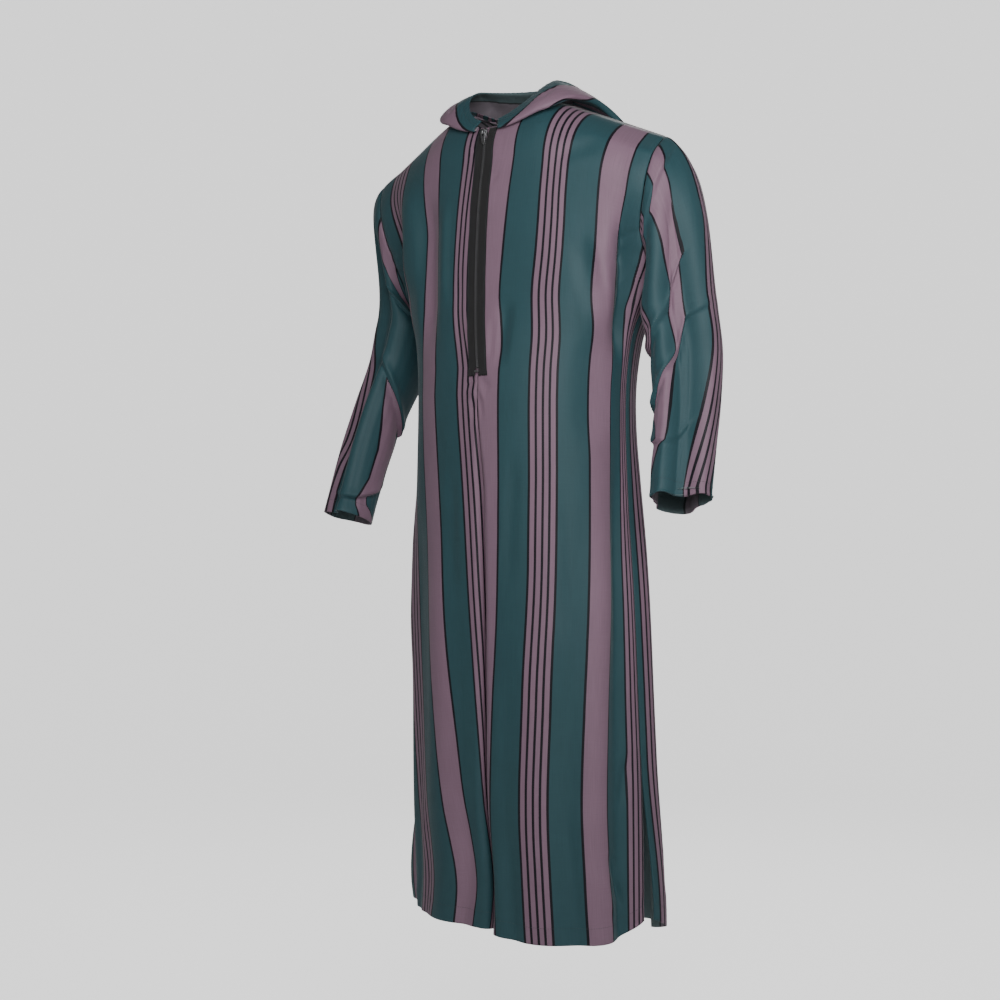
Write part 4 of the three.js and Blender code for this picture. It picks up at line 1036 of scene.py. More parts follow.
def back_cloth():
    """The back in one piece: its outer grid, its flat places and its wall."""
    rows = np.concatenate([spans(*BACK_TOP_STEPS), rows_from(BACK_TOP_STEPS[-1])[1:]])
    c, row = np.broadcast_arrays(spans(*BACK_STEPS)[None, :], rows[:, None])
    left, u, h = back_point(1, c, row, RIPPLE_SEEDS["back"])
    right, _, _ = back_point(-1, c, row, RIPPLE_SEEDS["back"])
    grid = np.concatenate([left[:, ::-1], right[:, 1:]], axis=1)
    signed = np.concatenate([u[:, ::-1], -u[:, 1:]], axis=1)
    depth = np.concatenate([h[:, ::-1], h[:, 1:]], axis=1)
    row = np.broadcast_to(rows[:, None], depth.shape)
    to_side = np.where(row < ARMHOLE_DEPTH, armhole_edge(row), PANEL_HALF_WIDTH) - np.abs(signed)
    dip = np.where(row < SLIT_TOP, seam_dip(to_side), 0)
    dip = dip + seam_dip(row) * (np.abs(signed) > SHOULDER_SEAM_START)
    above = GARMENT_LENGTH - row
    dip = dip + hem_pucker(signed, above, PUCKER_SEEDS["back"])
    grid = move_out(grid, dip, 1)
    turned = turned_edges(above, PANEL_HALF_WIDTH - np.abs(signed), row)
    uv = np.stack([signed + BACK_PHASE, -depth], axis=-1)
    return grid, uv, -bpy.context.scene.thobe_cloth.wall * (1 + turned)


def armhole_loop(side, count):
    """Evenly spaced points of the armhole: shoulder, front, armpit, back."""
    h = spans(0, 0.004, ARMHOLE_DEPTH)
    names = ("front_left", "back_left") if side > 0 else ("front_right", "back_right")
    front = body_point("front", side, armhole_edge(h), h, PANEL_CREASES[names[0]])
    back = body_point("back", side, armhole_edge(h), h, PANEL_CREASES[names[1]])[::-1]
    halves = [np.concatenate([front, back[:1]]), np.concatenate([back, front[:1]])]
    result = []
    for points in halves:
        lengths = np.concatenate([[0], np.cumsum(np.linalg.norm(np.diff(points, axis=0), axis=1))])
        target = lengths[-1] * np.arange(count // 2) / (count // 2)
        result.append(np.stack([np.interp(target, lengths, points[:, k]) for k in range(3)], axis=1))
    return np.concatenate(result)


def unit(v):
    return v / np.linalg.norm(v, axis=-1, keepdims=True)


def sleeve_rings(arm, side, t, turn):
    """Rings of the sleeve square to its centre line, and the line's direction."""
    def centre(at):
        return np.stack([read(arm, "row", column, at) for column in ("x", "y", "z")], axis=-1)

    last = arm["row"][-1]
    down = unit(centre(np.minimum(last, t + 0.2)) - centre(np.maximum(0, t - 0.2)))
    outward = np.array([side, 0.0, 0.0]) - down * (down @ np.array([side, 0.0, 0.0]))[:, None]
    forward = np.array([0.0, -1.0, 0.0]) - down * (down @ np.array([0.0, -1.0, 0.0]))[:, None]
    across = read(arm, "row", "across", t)[:, None, None]
    deep = read(arm, "row", "deep", t)[:, None, None]
    cos, sin = np.cos(turn)[None, :, None], np.sin(turn)[None, :, None]
    ring = centre(t)[:, None, :] + unit(outward)[:, None, :] * across * cos
    return ring + unit(forward)[:, None, :] * deep * sin, down


def fold_step(fold, around, z):
    """How far below a fold's line each place lies, and its share of the cloth below it."""
    below = np.interp(around, fold["around"], fold["z"]) - z
    return below, smooth(0.5 + below / FOLD_STEP)


def lap_height(folds, around, z):
    """Height that the lapped folds add to a sleeve."""
    total = np.zeros_like(z)
    for fold in folds:
        below, step = fold_step(fold, around, z)
        start, end = fold["around"][0], fold["around"][-1]
        ends = smooth((around - start) / FOLD_END) * smooth((end - around) / FOLD_END)
        over = np.exp(-((np.minimum(below, 0) / FOLD_BACK) ** 2)) * (1 - step)
        under = np.exp(-((np.maximum(below, 0) / FOLD_AHEAD) ** 2)) * step
        total += np.interp(around, fold["around"], fold["height"]) * ends * (over - 0.9 * under)
    return total


def sleeve_places(name, around, z):
    """Place in the stripe repeat over a sleeve's grid."""
    stripes = bpy.context.scene.thobe_stripes
    wide = stripes.wide + 2 * stripes.wide_line
    marks = (-stripes.ground, 0.0, wide, wide + stripes.ground)
    narrow_end = read(SLEEVE_STRIPES[name], "z", "place", z)

    def between(edges):
        knots = [narrow_end] + [np.interp(-z, -edges["z"], edges[key]) for key in ("start", "end", "next")]
        place = marks[0] + around - narrow_end
        for low, high, a, b in zip(knots, knots[1:], marks, marks[1:]):
            place = np.where(around > low, a + (b - a) * (around - low) / (high - low), place)
        return np.where(around > knots[-1], marks[-1] + around - knots[-1], place)

    sections = SLEEVE_EDGES[name]
    result = between(sections[0])
    for fold, edges in zip(SLEEVE_FOLDS[name], sections[1:]):
        result = mix(result, between(edges), fold_step(fold, around, z)[1])
    return result


def sleeve_shape(side, arm, turn):
    """Smooth rings of one sleeve, from the armhole to the cuff."""
    lower, down = sleeve_rings(arm, side, spans(0, SLEEVE_RING_STEP, arm["row"][-1]), turn)
    under = (0.5 - 0.5 * np.cos(turn))[:, None]
    leave = np.concatenate([side * mix(0.86, 0.62, under), 0 * under, -mix(0.5, 0.78, under)], axis=1)
    pull = mix(CAP_PULL_TOP, CAP_PULL_UNDERARM, under)
    start = armhole_loop(side, SLEEVE_SIDES) + leave * SLEEVE_SEAM_GAP
    t = (np.arange(CAP_ROWS) / CAP_ROWS)[:, None, None]
    cap = hermite(t, start, leave * pull, lower[0], down[0] * pull)
    return np.concatenate([cap, lower])


def ring_distances(grid, seam_column):
    """Order of the columns from the seam, their distance round each ring and from the seam.

    The distance round is counted from the first column, more than nothing toward the front
    and less toward the back; the last result is what it is at the seam, met from the front.
    """
    sides = grid.shape[1]
    step = np.linalg.norm(np.roll(grid, -1, axis=1) - grid, axis=-1)
    zero = np.zeros((len(grid), 1))
    by_front = np.concatenate([zero, np.cumsum(step[:, :seam_column], axis=1)], axis=1)
    by_back = np.concatenate([zero, np.cumsum(step[:, seam_column:][:, ::-1], axis=1)], axis=1)
    around = np.concatenate([-by_back[:, :0:-1], by_front[:, :-1]], axis=1)
    from_seam = np.abs(np.where(around >= 0, by_front[:, -1:], by_back[:, -1:]) - np.abs(around))
    return (np.arange(sides) + seam_column) % sides, around, from_seam, by_front[:, -1:]


def sleeve_cloth(side):
    """One sleeve: its outer grid, its flat places, its wall and the length down it."""
    name, arm = ("left", LEFT_ARM) if side > 0 else ("right", RIGHT_ARM)
    cloth = bpy.context.scene.thobe_cloth
    turn = 2 * math.pi * np.arange(SLEEVE_SIDES) / SLEEVE_SIDES
    grid = sleeve_shape(side, arm, turn)
    order, around, from_seam, at_seam = ring_distances(grid, round(SLEEVE_SIDES * SLEEVE_SEAM[name]))
    grid = grid[:, order]
    z, row = grid[..., 2], np.arange(len(grid))[:, None]
    angle = np.broadcast_to(np.degrees(turn[order])[None, :], z.shape)
    length = np.cumsum(np.concatenate([[0], np.linalg.norm(np.diff(grid.mean(1), axis=0), axis=1)]))
    to_cuff = (length[-1] - length)[:, None]
    past_seam, past_cap = smooth(row / (CAP_ROWS / 6)), smooth(row / (CAP_ROWS / 2))
    creases = SLEEVE_CREASES[name]
    offset = (crease_depth(creases, angle, z) + crease_depth(creases, angle + 360, z)) * past_cap
    offset += lap_height(SLEEVE_FOLDS[name], around, z) * past_seam * smooth(to_cuff / CUFF_LAP_FADE)
    offset += seam_dip(length)[:, None] * SLEEVE_HEAD_DIP + seam_dip(from_seam) * UNDERARM_DIP
    offset += ripple(angle / 120, z * 2, RIPPLE_SEEDS[name]) * past_seam
    offset += hem_pucker(around, to_cuff + cloth.hem - CUFF_HEM, PUCKER_SEEDS["cuff"]) * CUFF_PUCKER
    meeting = sleeve_places(name, at_seam, z[:, :1])
    places = np.concatenate([sleeve_places(name, around, z), meeting], axis=1)
    uv = np.stack([places, -np.broadcast_to(length[:, None], places.shape)], axis=-1)
    grid = grid - side * grid_normals(grid, True) * offset[..., None]
    turned = hem_share(to_cuff, CUFF_HEM) * np.ones_like(z)
    return grid, uv, side * cloth.wall * (1 + turned), length


def hood_surface(angle, side, part, t):
    """Points of the hood, from the neck seam out over the body, round its fold, to its rim."""
    reach = read(HOOD_PROFILE, "angle", "reach", angle)
    fullness = read(HOOD_PROFILE, "angle", "fullness", angle)
    turn = math.radians(angle)
    is_front = angle <= 90
    drop = FRONT_NECK_DROP if is_front else BACK_NECK_DROP
    panel = "front" if is_front else "back"

    def on_body(r, height):
        r, height = np.broadcast_arrays(np.asarray(r, float), np.asarray(height, float))
        u = (NECK_HALF_WIDTH + r) * math.sin(turn)
        h = (drop + r) * abs(math.cos(turn))
        step = 0.002
        here = body_point(panel, side, u, h)
        across = body_point(panel, side, u + step, h) - here
        below = body_point(panel, side, u, h + step) - here
        normal = unit(np.cross(below, across))
        turned = normal[..., 2] * 2 + normal[..., 1] * (-1 if is_front else 1)
        normal = np.where((turned < 0)[..., None], -normal, normal)
        return here + normal * height[..., None]

    def lift(r):
        over_shoulder = HOOD_SHOULDER_LIFT * math.sin(turn) ** 2
        return HOOD_SEAM_LIFT + over_shoulder + HOOD_LIFT * smooth(r / HOOD_LIFT_REACH)

    if part == "under":
        spread = reach * t ** HOOD_ROW_POWER
        return on_body(spread, lift(spread))
    low = lift(reach)
    if part == "turn":
        half = fullness / 2
        out = reach + half * np.sin(math.pi * t)
        return on_body(out, low + half * (1 - np.cos(math.pi * t)))
    rim = np.array([
        side * HOOD_RIM_HALF_WIDTH * math.sin(turn),
        HOOD_RIM_CENTRE_Y - HOOD_RIM_HALF_DEPTH * math.cos(turn),
        float(read(HOOD_PROFILE, "angle", "rim", angle)),
    ])
    seam = on_body(0.0, low + fullness)
    bulge = HOOD_BULGE * np.sin(math.pi * t) * smooth(angle / 90)
    outer = on_body(reach * (1 - t), low + fullness + bulge)
    return outer + (rim - seam) * (t ** HOOD_RISE_POWER)[:, None]


def hood_cloth():
    """The hood: its outer grid, its flat places and its wall."""
    parts = [
        ("under", np.arange(HOOD_UNDER_ROWS) / HOOD_UNDER_ROWS),
        ("turn", np.arange(HOOD_TURN_ROWS) / HOOD_TURN_ROWS),
        ("outer", np.arange(HOOD_OUTER_ROWS + 1) / HOOD_OUTER_ROWS),
    ]
    angles = np.linspace(HOOD_FIRST_ANGLE, 360 - HOOD_FIRST_ANGLE, HOOD_COLUMNS)
    columns = []
    for angle in angles:
        side = 1 if angle <= 180 else -1
        own = min(angle, 360 - angle)
        columns.append(np.concatenate([hood_surface(own, side, part, t) for part, t in parts]))
    grid = np.stack(columns, axis=1)
    for _ in range(4):
        middle = (grid[:, 2:] + grid[:, :-2]) / 4 + grid[:, 1:-1] / 2
        grid = np.concatenate([grid[:, :1], middle, grid[:, -1:]], axis=1)
    first_outer = HOOD_UNDER_ROWS + HOOD_TURN_ROWS
    t = np.clip((np.arange(len(grid)) - first_outer) / HOOD_OUTER_ROWS, 0, 1)[:, None]
    a, height = np.broadcast_arrays(angles[None, :], t * 100)
    offset = crease_depth(HOOD_CREASES, a, height) * smooth(t * 6) * smooth((1 - t) * 5)
    offset = offset + ripple(a / 40, height / 30, RIPPLE_SEEDS["hood"]) * smooth(t * 4)
    grid = grid - grid_normals(grid) * offset[..., None]
    steps = np.linalg.norm(np.diff(grid, axis=0), axis=-1)
    from_rim = np.concatenate([np.cumsum(steps[::-1], axis=0)[::-1], np.zeros((1, HOOD_COLUMNS))])
    around = np.cumsum(np.concatenate([[0], np.linalg.norm(np.diff(grid[-1], axis=0), axis=1)]))
    uv = np.stack([from_rim + HOOD_PHASE, np.broadcast_to(around, from_rim.shape)], axis=-1)
    wall = bpy.context.scene.thobe_cloth.wall
    return grid, uv, wall * (1 + hem_share(from_rim, HOOD_HEM))


class NodeTree:
    """Short way to add nodes to a tree and to join them."""

    def __init__(self, tree):
        self.tree = tree

    def add(self, kind, **inputs):
        node = self.tree.nodes.new(kind)
        for key, value in inputs.items():
            if key.startswith("set_"):
                setattr(node, key[4:], value)
            else:
                self.put(node, key.replace("_", " "), value)
        return node

    def put(self, node, key, value):
        socket = node.inputs[key]
        if isinstance(value, bpy.types.NodeSocket):
            self.tree.links.new(value, socket)
        else:
            socket.default_value = value

    def filled(self, node, values):
        for index, value in enumerate(values):
            self.put(node, index, value)
        return node.outputs[0]

    def math(self, operation, *values):
        return self.filled(self.add("ShaderNodeMath", set_operation=operation), values)

    def vector(self, *values):
        return self.filled(self.add("ShaderNodeCombineXYZ"), values)


class Finish(NodeTree):
    """Shader nodes of one new material."""

    def __init__(self, name):
        self.material = bpy.data.materials.new(name)
        self.material.use_nodes = True
        super().__init__(self.material.node_tree)
        self.tree.nodes.clear()
        self.output = self.add("ShaderNodeOutputMaterial")

    def flat_place(self):
        """The cloth's own flat place, across and down."""
        uv = self.add("ShaderNodeUVMap", set_uv_map=CLOTH_UV).outputs[0]
        split = self.add("ShaderNodeSeparateXYZ", Vector=uv)
        return split.outputs[0], split.outputs[1]

    def place(self):
        return self.add("ShaderNodeTexCoord").outputs["Object"]

    def stretched(self, across, down, across_scale, down_scale):
        """A flat place, scaled across and down."""
        return self.vector(self.math("MULTIPLY", across, across_scale),
                           self.math("MULTIPLY", down, down_scale))

    def noise(self, vector, scale, detail=2.0):
        node = self.add("ShaderNodeTexNoise", Vector=vector, Scale=scale, Detail=detail)
        return node.outputs["Fac"]

    def blend(self, kind, factor, a, b):
        node = self.add("ShaderNodeMix", set_data_type="RGBA", set_blend_type=kind)
        self.put(node, 0, factor)
        self.put(node, 6, a)
        self.put(node, 7, b)
        return node.outputs[2]

    def shaded(self, colour, shade):
        return self.blend("MULTIPLY", 1.0, colour, self.vector(shade, shade, shade))

    def bump(self, height, strength, distance, **normal):
        node = self.add("ShaderNodeBump", Height=height, Strength=strength, Distance=distance, **normal)
        return node.outputs[0]

    def surface(self, colour, **inputs):
        """The material, finished with one surface of this colour."""
        shader = self.add("ShaderNodeBsdfPrincipled", Base_Color=colour, **inputs)
        self.put(self.output, "Surface", shader.outputs[0])
        return self.material


def rgba(colour):
    return (*colour, 1.0)


def stripe_ramp(nodes, position, green, mauve, line):
    """Colour of the woven stripes at a place in their repeat, from 0 to 1."""
    widths = bpy.context.scene.thobe_stripes
    edge, thin_edge, ground = (widths.wide_line, line), (widths.narrow_line, line), (widths.ground, green)
    order = [edge, (widths.wide, mauve), edge, ground]
    order += [thin_edge, (widths.narrow, mauve)] * 4 + [thin_edge, ground]
    ramp = nodes.add("ShaderNodeValToRGB", Fac=position)
    ramp.color_ramp.interpolation = "CONSTANT"
    elements = ramp.color_ramp.elements
    elements.remove(elements[1])
    whole = sum(width for width, _ in order)
    place = 0.0
    for index, (width, colour) in enumerate(order):
        element = elements.new(place / whole) if index else elements[0]
        element.color = rgba(colour)
        place += width
    return ramp.outputs["Color"]


def stripe_repeat():
    widths = bpy.context.scene.thobe_stripes
    wide_group = 2 * (widths.wide_line + widths.ground) + widths.wide
    return wide_group + 5 * widths.narrow_line + 4 * widths.narrow


def woven_cloth(name, green, mauve, line, roughness, sheen):
    """Striped twill that follows the cloth's own flat places."""
    nodes = Finish(name)
    across, down = nodes.flat_place()
    flat = nodes.vector(across, down)
    wander = nodes.math("SUBTRACT", nodes.noise(flat, 9.0), 0.5)
    steady = nodes.math("MULTIPLY_ADD", wander, 0.0010, across)
    repeat = nodes.math("DIVIDE", steady, stripe_repeat())
    position = nodes.math("SUBTRACT", repeat, nodes.math("FLOOR", repeat))
    colour = stripe_ramp(nodes, position, green, mauve, line)
    threads = nodes.noise(nodes.stretched(across, down, 1500.0, 22.0), 1.0, 3.0)
    picks = nodes.noise(nodes.stretched(across, down, 30.0, 1300.0), 1.0, 2.0)
    mottle = nodes.noise(flat, 14.0, 4.0)
    shade = nodes.math("MULTIPLY_ADD", threads, 0.34, 0.83)
    shade = nodes.math("MULTIPLY", shade, nodes.math("MULTIPLY_ADD", picks, 0.18, 0.91))
    shade = nodes.math("MULTIPLY", shade, nodes.math("MULTIPLY_ADD", mottle, 0.14, 0.93))
    diagonal = nodes.math("MULTIPLY_ADD", across, 5200.0, nodes.math("MULTIPLY", down, 3600.0))
    rib = nodes.math("SINE", nodes.math("MULTIPLY", across, 9000.0))
    weave = nodes.math("MULTIPLY_ADD", nodes.math("SINE", diagonal), 0.6, nodes.math("MULTIPLY", rib, 0.3))
    weave = nodes.math("ADD", weave, threads)
    crumple = nodes.noise(nodes.stretched(across, down, 46.0, 13.0), 1.0, 3.0)
    normal = nodes.bump(crumple, 0.35, 0.0016)
    normal = nodes.bump(weave, 0.30, 0.00012, Normal=normal)
    return nodes.surface(
        nodes.shaded(colour, shade), Roughness=roughness, Normal=normal, Sheen_Weight=sheen,
        Sheen_Roughness=0.35, Specular_IOR_Level=0.42)


def once(name, make):
    return bpy.data.materials.get(name) or make(name)


def cloth_material():
    colours = bpy.context.scene.thobe_stripes
    return once("striped_twill", lambda name: woven_cloth(
        name, colours.green, colours.mauve, colours.line, 0.58, 0.16))


def paler(colour, towards, share):
    return [mix(a, b, share) for a, b in zip(colour, towards)]


def cloth_reverse_material():
    """The cloth's wrong side: the same stripes, paler and greyer."""
    colours = bpy.context.scene.thobe_stripes
    grey = (0.26, 0.31, 0.31)
    return once("striped_twill_reverse", lambda name: woven_cloth(
        name, paler(colours.green, grey, 0.45), paler(colours.mauve, grey, 0.45),
        paler(colours.line, grey, 0.22), 0.72, 0.08))


def tape_material():
    """Ribbed black tape, with ribs along its length."""
    def make(name):
        nodes = Finish(name)
        across, down = nodes.flat_place()
        chevron = nodes.math("PINGPONG", nodes.math("MULTIPLY", across, 900.0), 1.0)
        slanted = nodes.math("MULTIPLY_ADD", down, 4200.0, nodes.math("MULTIPLY", chevron, 3.1))
        rib = nodes.math("SINE", nodes.math("MULTIPLY", across, 5600.0))
        height = nodes.math("MULTIPLY_ADD", nodes.math("SINE", slanted), 0.5, rib)
        fuzz = nodes.noise(nodes.stretched(across, down, 900.0, 300.0), 1.0, 3.0)
        worn = nodes.noise(nodes.vector(across, down), 22.0, 4.0)
        light = nodes.math("MULTIPLY_ADD", nodes.math("MULTIPLY", fuzz, worn), 2.2, 0.55)
        base = nodes.shaded(rgba(bpy.context.scene.thobe_zip.tape), light)
        normal = nodes.bump(height, 0.55, 0.00018)
        return nodes.surface(base, Roughness=0.74, Normal=normal, Sheen_Weight=0.12)

    return once("ribbed_tape", make)


def coil_material():
    def make(name):
        nodes = Finish(name)
        scuff_and_glint = nodes.noise(nodes.place(), 1400.0, 3.0)
        # Dark nylon mixed at random with a light grey. The light grey is partly a painted glint, and the same
        # noise roughens these places as scuffs
        base = nodes.blend("MIX", scuff_and_glint, (0.050, 0.050, 0.054, 1), (0.260, 0.260, 0.270, 1))
        rough = nodes.math("MULTIPLY_ADD", scuff_and_glint, 0.22, 0.16)
        return nodes.surface(base, Roughness=rough, Coat_Weight=0.3)

    return once("nylon_coil", make)


def metal_material():
    """Dark enamel, worn to bare metal on its edges."""
    def make(name):
        nodes = Finish(name)
        wear = nodes.noise(nodes.place(), 620.0, 5.0)
        edge = nodes.add("ShaderNodeNewGeometry").outputs["Pointiness"]
        worn = nodes.math("MULTIPLY_ADD", edge, 9.0, -4.55)
        worn = nodes.math("MULTIPLY_ADD", wear, 0.5, worn)
        worn = nodes.math("MINIMUM", nodes.math("MAXIMUM", worn, 0.0), 1.0)
        base = nodes.blend("MIX", worn, rgba(bpy.context.scene.thobe_zip.metal), (0.42, 0.42, 0.43, 1))
        rough = nodes.math("MULTIPLY_ADD", wear, 0.25, 0.22)
        normal = nodes.bump(wear, 0.15, 0.0001)
        return nodes.surface(base, Roughness=rough, Metallic=0.9, Normal=normal)

    return once("worn_enamel", make)


def thread_material():
    def make(name):
        colour = bpy.context.scene.thobe_stitching.colour
        nodes = Finish(name)
        strand = nodes.noise(nodes.place(), 2600.0, 2.0)
        base = nodes.blend("MIX", strand, rgba(colour), rgba([c * 2.1 for c in colour]))
        normal = nodes.bump(strand, 0.4, 0.0001)
        return nodes.surface(base, Roughness=0.55, Normal=normal, Sheen_Weight=0.2)

    return once("sewing_thread", make)


def make_front(side):
    name = "left" if side > 0 else "right"
    grid, uv, wall = front_cloth(side)
    obj = cloth_shell(f"front_{name}_cloth", grid, uv, wall)
    finish_cloth(obj, f"front_{name}")


def make_back():
    grid, uv, wall = back_cloth()
    obj = cloth_shell("back_cloth", grid, uv, wall)
    finish_cloth(obj, "back")


def make_sleeve(side):
    name = "left" if side > 0 else "right"
    grid, uv, wall, length = sleeve_cloth(side)
    obj = cloth_shell(f"sleeve_{name}_cloth", grid, uv, wall, wrapped=True)
    finish_cloth(obj, f"sleeve_{name}")


def make_hood():
    grid, uv, wall = hood_cloth()
    obj = cloth_shell("hood_cloth", grid, uv, wall)
    finish_cloth(obj, "hood")


def front_surface(side, s, h):
    """Front surface beside the centre line, at the distance s from it and the depth h."""
    z = cloth_height(side, s, h)
    _, y, _, _ = OUTLINES[side].along(s, z)
    y = mix(NECK_LINE_Y - SHOULDER_HALF_GAP, y, forward_share(h, FRONT_ROUNDING))
    return np.stack([side * s + zip_wander(s, z), y, z], axis=-1)


def make_tape(side):
    """One tape of the zip, laid over the front's edge and flared at its foot."""
    name = "left" if side > 0 else "right"
    inner = ZIP_CHAIN_HALF + PART_GAP
    h = spans(FRONT_NECK_DROP + 0.001, 0.0035, ZIP_END)[:, None]
    s = spans(inner, 0.0009, ZIP_TAPE_WIDTH)[None, :]
    s, h = np.broadcast_arrays(s, h)
    share = (s - inner) / (ZIP_TAPE_WIDTH - inner)
    foot = smooth(1 - (ZIP_END - h) / TAPE_FOOT)
    grid = front_surface(side, s * (1 + TAPE_FOOT_FLARE[side] * foot), h)
    rib = TAPE_RIB * np.cos(share * math.pi * 14)
    wave = TAPE_WAVE * np.sin(h * 95 + side) * smooth(share * 2)
    wave = wave + TAPE_FOOT_WAVE * foot * np.sin(share * 9 + 1)
    stitch = -0.00025 * np.exp(-(((share - TAPE_STITCH_PLACE) / 0.05) ** 2))
    edge = -0.0004 * smooth((share - 0.9) / 0.1)
    grid[..., 1] -= TAPE_LIFT + TAPE_WALL + rib + np.maximum(wave, -0.0003) + stitch + edge
    uv = np.stack([s, -h], axis=-1)
    obj = cloth_shell(f"zip_band_{name}", grid, uv, np.full(s.shape, -side * TAPE_WALL))
    obj.data.materials.append(tape_material())
    obj.data.materials.append(tape_material())
    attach(obj, "garment")
    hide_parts(f"zip_tape_{name}")


class Grower(NodeTree):
    """Geometry Nodes tree with named inputs, which grows a piece on polylines."""

    def __init__(self, name, inputs):
        super().__init__(bpy.data.node_groups.new(name, "GeometryNodeTree"))
        sockets = self.tree.interface
        sockets.new_socket("Geometry", in_out="INPUT", socket_type="NodeSocketGeometry")
        self.identifiers = {}
        for key, kind in inputs.items():
            socket = sockets.new_socket(key, in_out="INPUT", socket_type=kind)
            self.identifiers[key] = socket.identifier
        sockets.new_socket("Geometry", in_out="OUTPUT", socket_type="NodeSocketGeometry")
        self.start = self.tree.nodes.new("NodeGroupInput")
        self.end = self.tree.nodes.new("NodeGroupOutput")

    def given(self, name):
        return self.start.outputs[name]

    def points_along(self, pitch):
        """Points at even steps along the polylines."""
        curve = self.add("GeometryNodeMeshToCurve", Mesh=self.given("Geometry"))
        even = self.add("GeometryNodeResampleCurve", set_mode="LENGTH", Curve=curve.outputs[0],
                        Length=pitch)
        return even.outputs[0]

    def finish(self, geometry, material):
        realized = self.add("GeometryNodeRealizeInstances", Geometry=geometry)
        shown = self.add("GeometryNodeSetMaterial", Geometry=realized.outputs[0], Material=material)
        self.tree.links.new(shown.outputs[0], self.end.inputs[0])
        return self


def grown(name, lines, tree, values):
    """Plain mesh of what a tree grows on polylines."""
    points = np.concatenate(lines)
    edges, start = [], 0
    for line in lines:
        edges += [(start + k, start + k + 1) for k in range(len(line) - 1)]
        start += len(line)
    path = bpy.data.meshes.new(name + "_guide")
    path.from_pydata(points.tolist(), edges, [])
    guide = link(name + "_guide", path)
    modifier = guide.modifiers.new("Grow", "NODES")
    modifier.node_group = tree.tree
    for key, value in values.items():
        modifier[tree.identifiers[key]] = value
    graph = bpy.context.evaluated_depsgraph_get()
    mesh = bpy.data.meshes.new_from_object(guide.evaluated_get(graph), depsgraph=graph)
    mesh.name = name
    guide.modifiers.remove(modifier)
    bpy.data.objects.remove(guide)
    if not mesh.polygons:
        raise RuntimeError(f"{name} grew no faces")
    make_smooth(mesh)
    return link(name, mesh)


def stitch_tree():
    """Rounded stitches along a line, one after another."""
    tree = Grower("Stitches", {
        "Pitch": "NodeSocketFloat", "Length": "NodeSocketFloat",
        "Thread": "NodeSocketFloat", "Material": "NodeSocketMaterial"})
    tangent = tree.add("GeometryNodeInputTangent")
    aligned = tree.add("FunctionNodeAlignRotationToVector", set_axis="Z", Vector=tangent.outputs[0])
    ball = tree.add("GeometryNodeMeshUVSphere", Segments=6, Rings=5, Radius=0.5)
    size = tree.vector(tree.given("Thread"), tree.given("Thread"), tree.given("Length"))
    placed = tree.add("GeometryNodeInstanceOnPoints", Points=tree.points_along(tree.given("Pitch")),
                      Instance=ball.outputs["Mesh"], Rotation=aligned.outputs[0], Scale=size)
    return tree.finish(placed.outputs[0], tree.given("Material"))


def coil_tree():
    """Turns of the closed coil: flattened wire loops that lean left and right in turn."""
    tree = Grower("Coil turns", {
        "Pitch": "NodeSocketFloat", "Half depth": "NodeSocketFloat", "Half width": "NodeSocketFloat",
        "Lean": "NodeSocketFloat", "Material": "NodeSocketMaterial"})
    ring = tree.add("GeometryNodeCurvePrimitiveCircle", Resolution=10, Radius=1.0)
    size = tree.vector(tree.given("Half width"), tree.given("Half depth"), 1.0)
    oval = tree.add("GeometryNodeTransform", Geometry=ring.outputs[0], Scale=size)
    wire = tree.add("GeometryNodeCurvePrimitiveCircle", Resolution=5, Radius=COIL_WIRE_RADIUS)
    loop = tree.add("GeometryNodeCurveToMesh", Curve=oval.outputs[0], Profile_Curve=wire.outputs[0])
    index = tree.add("GeometryNodeInputIndex")
    odd = tree.math("MODULO", index.outputs[0], 2.0)
    lean = tree.math("MULTIPLY", tree.math("MULTIPLY_ADD", odd, 2.0, -1.0), tree.given("Lean"))
    placed = tree.add("GeometryNodeInstanceOnPoints", Points=tree.points_along(tree.given("Pitch")),
                      Instance=loop.outputs[0], Rotation=tree.vector(0.0, lean))
    return tree.finish(placed.outputs[0], tree.given("Material"))


def make_coil():
    """The closed coil down the middle of the zip, on a narrow woven core."""
    sizes = bpy.context.scene.thobe_zip
    h = spans(FRONT_NECK_DROP + 0.018, 0.004, ZIP_END - 0.012)
    middle = front_surface(1, np.full_like(h, 0.0), h)
    middle[:, 1] -= TAPE_LIFT + TAPE_WALL + 0.0003
    coil = grown("zip_coil", [middle], coil_tree(), {
        "Pitch": sizes.tooth_pitch, "Half depth": sizes.coil_depth,
        "Half width": ZIP_CHAIN_HALF * COIL_WIDTH_SHARE, "Lean": COIL_LEAN, "Material": coil_material()})
    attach(coil, "garment")
    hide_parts("zip_chain")
    s = np.linspace(-ZIP_CHAIN_HALF, ZIP_CHAIN_HALF, 9)[None, :]
    s, depth = np.broadcast_arrays(s, h[:, None])
    core = front_surface(1, np.abs(s), depth)
    core[..., 0] += s - np.abs(s)
    core[..., 1] -= TAPE_LIFT + TAPE_WALL - 0.0001
    cord = cloth_shell("zip_core", core, np.stack([s, -depth], axis=-1), np.full(s.shape, -TAPE_WALL))
    cord.data.materials.append(tape_material())
    cord.data.materials.append(tape_material())
    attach(cord, "garment")


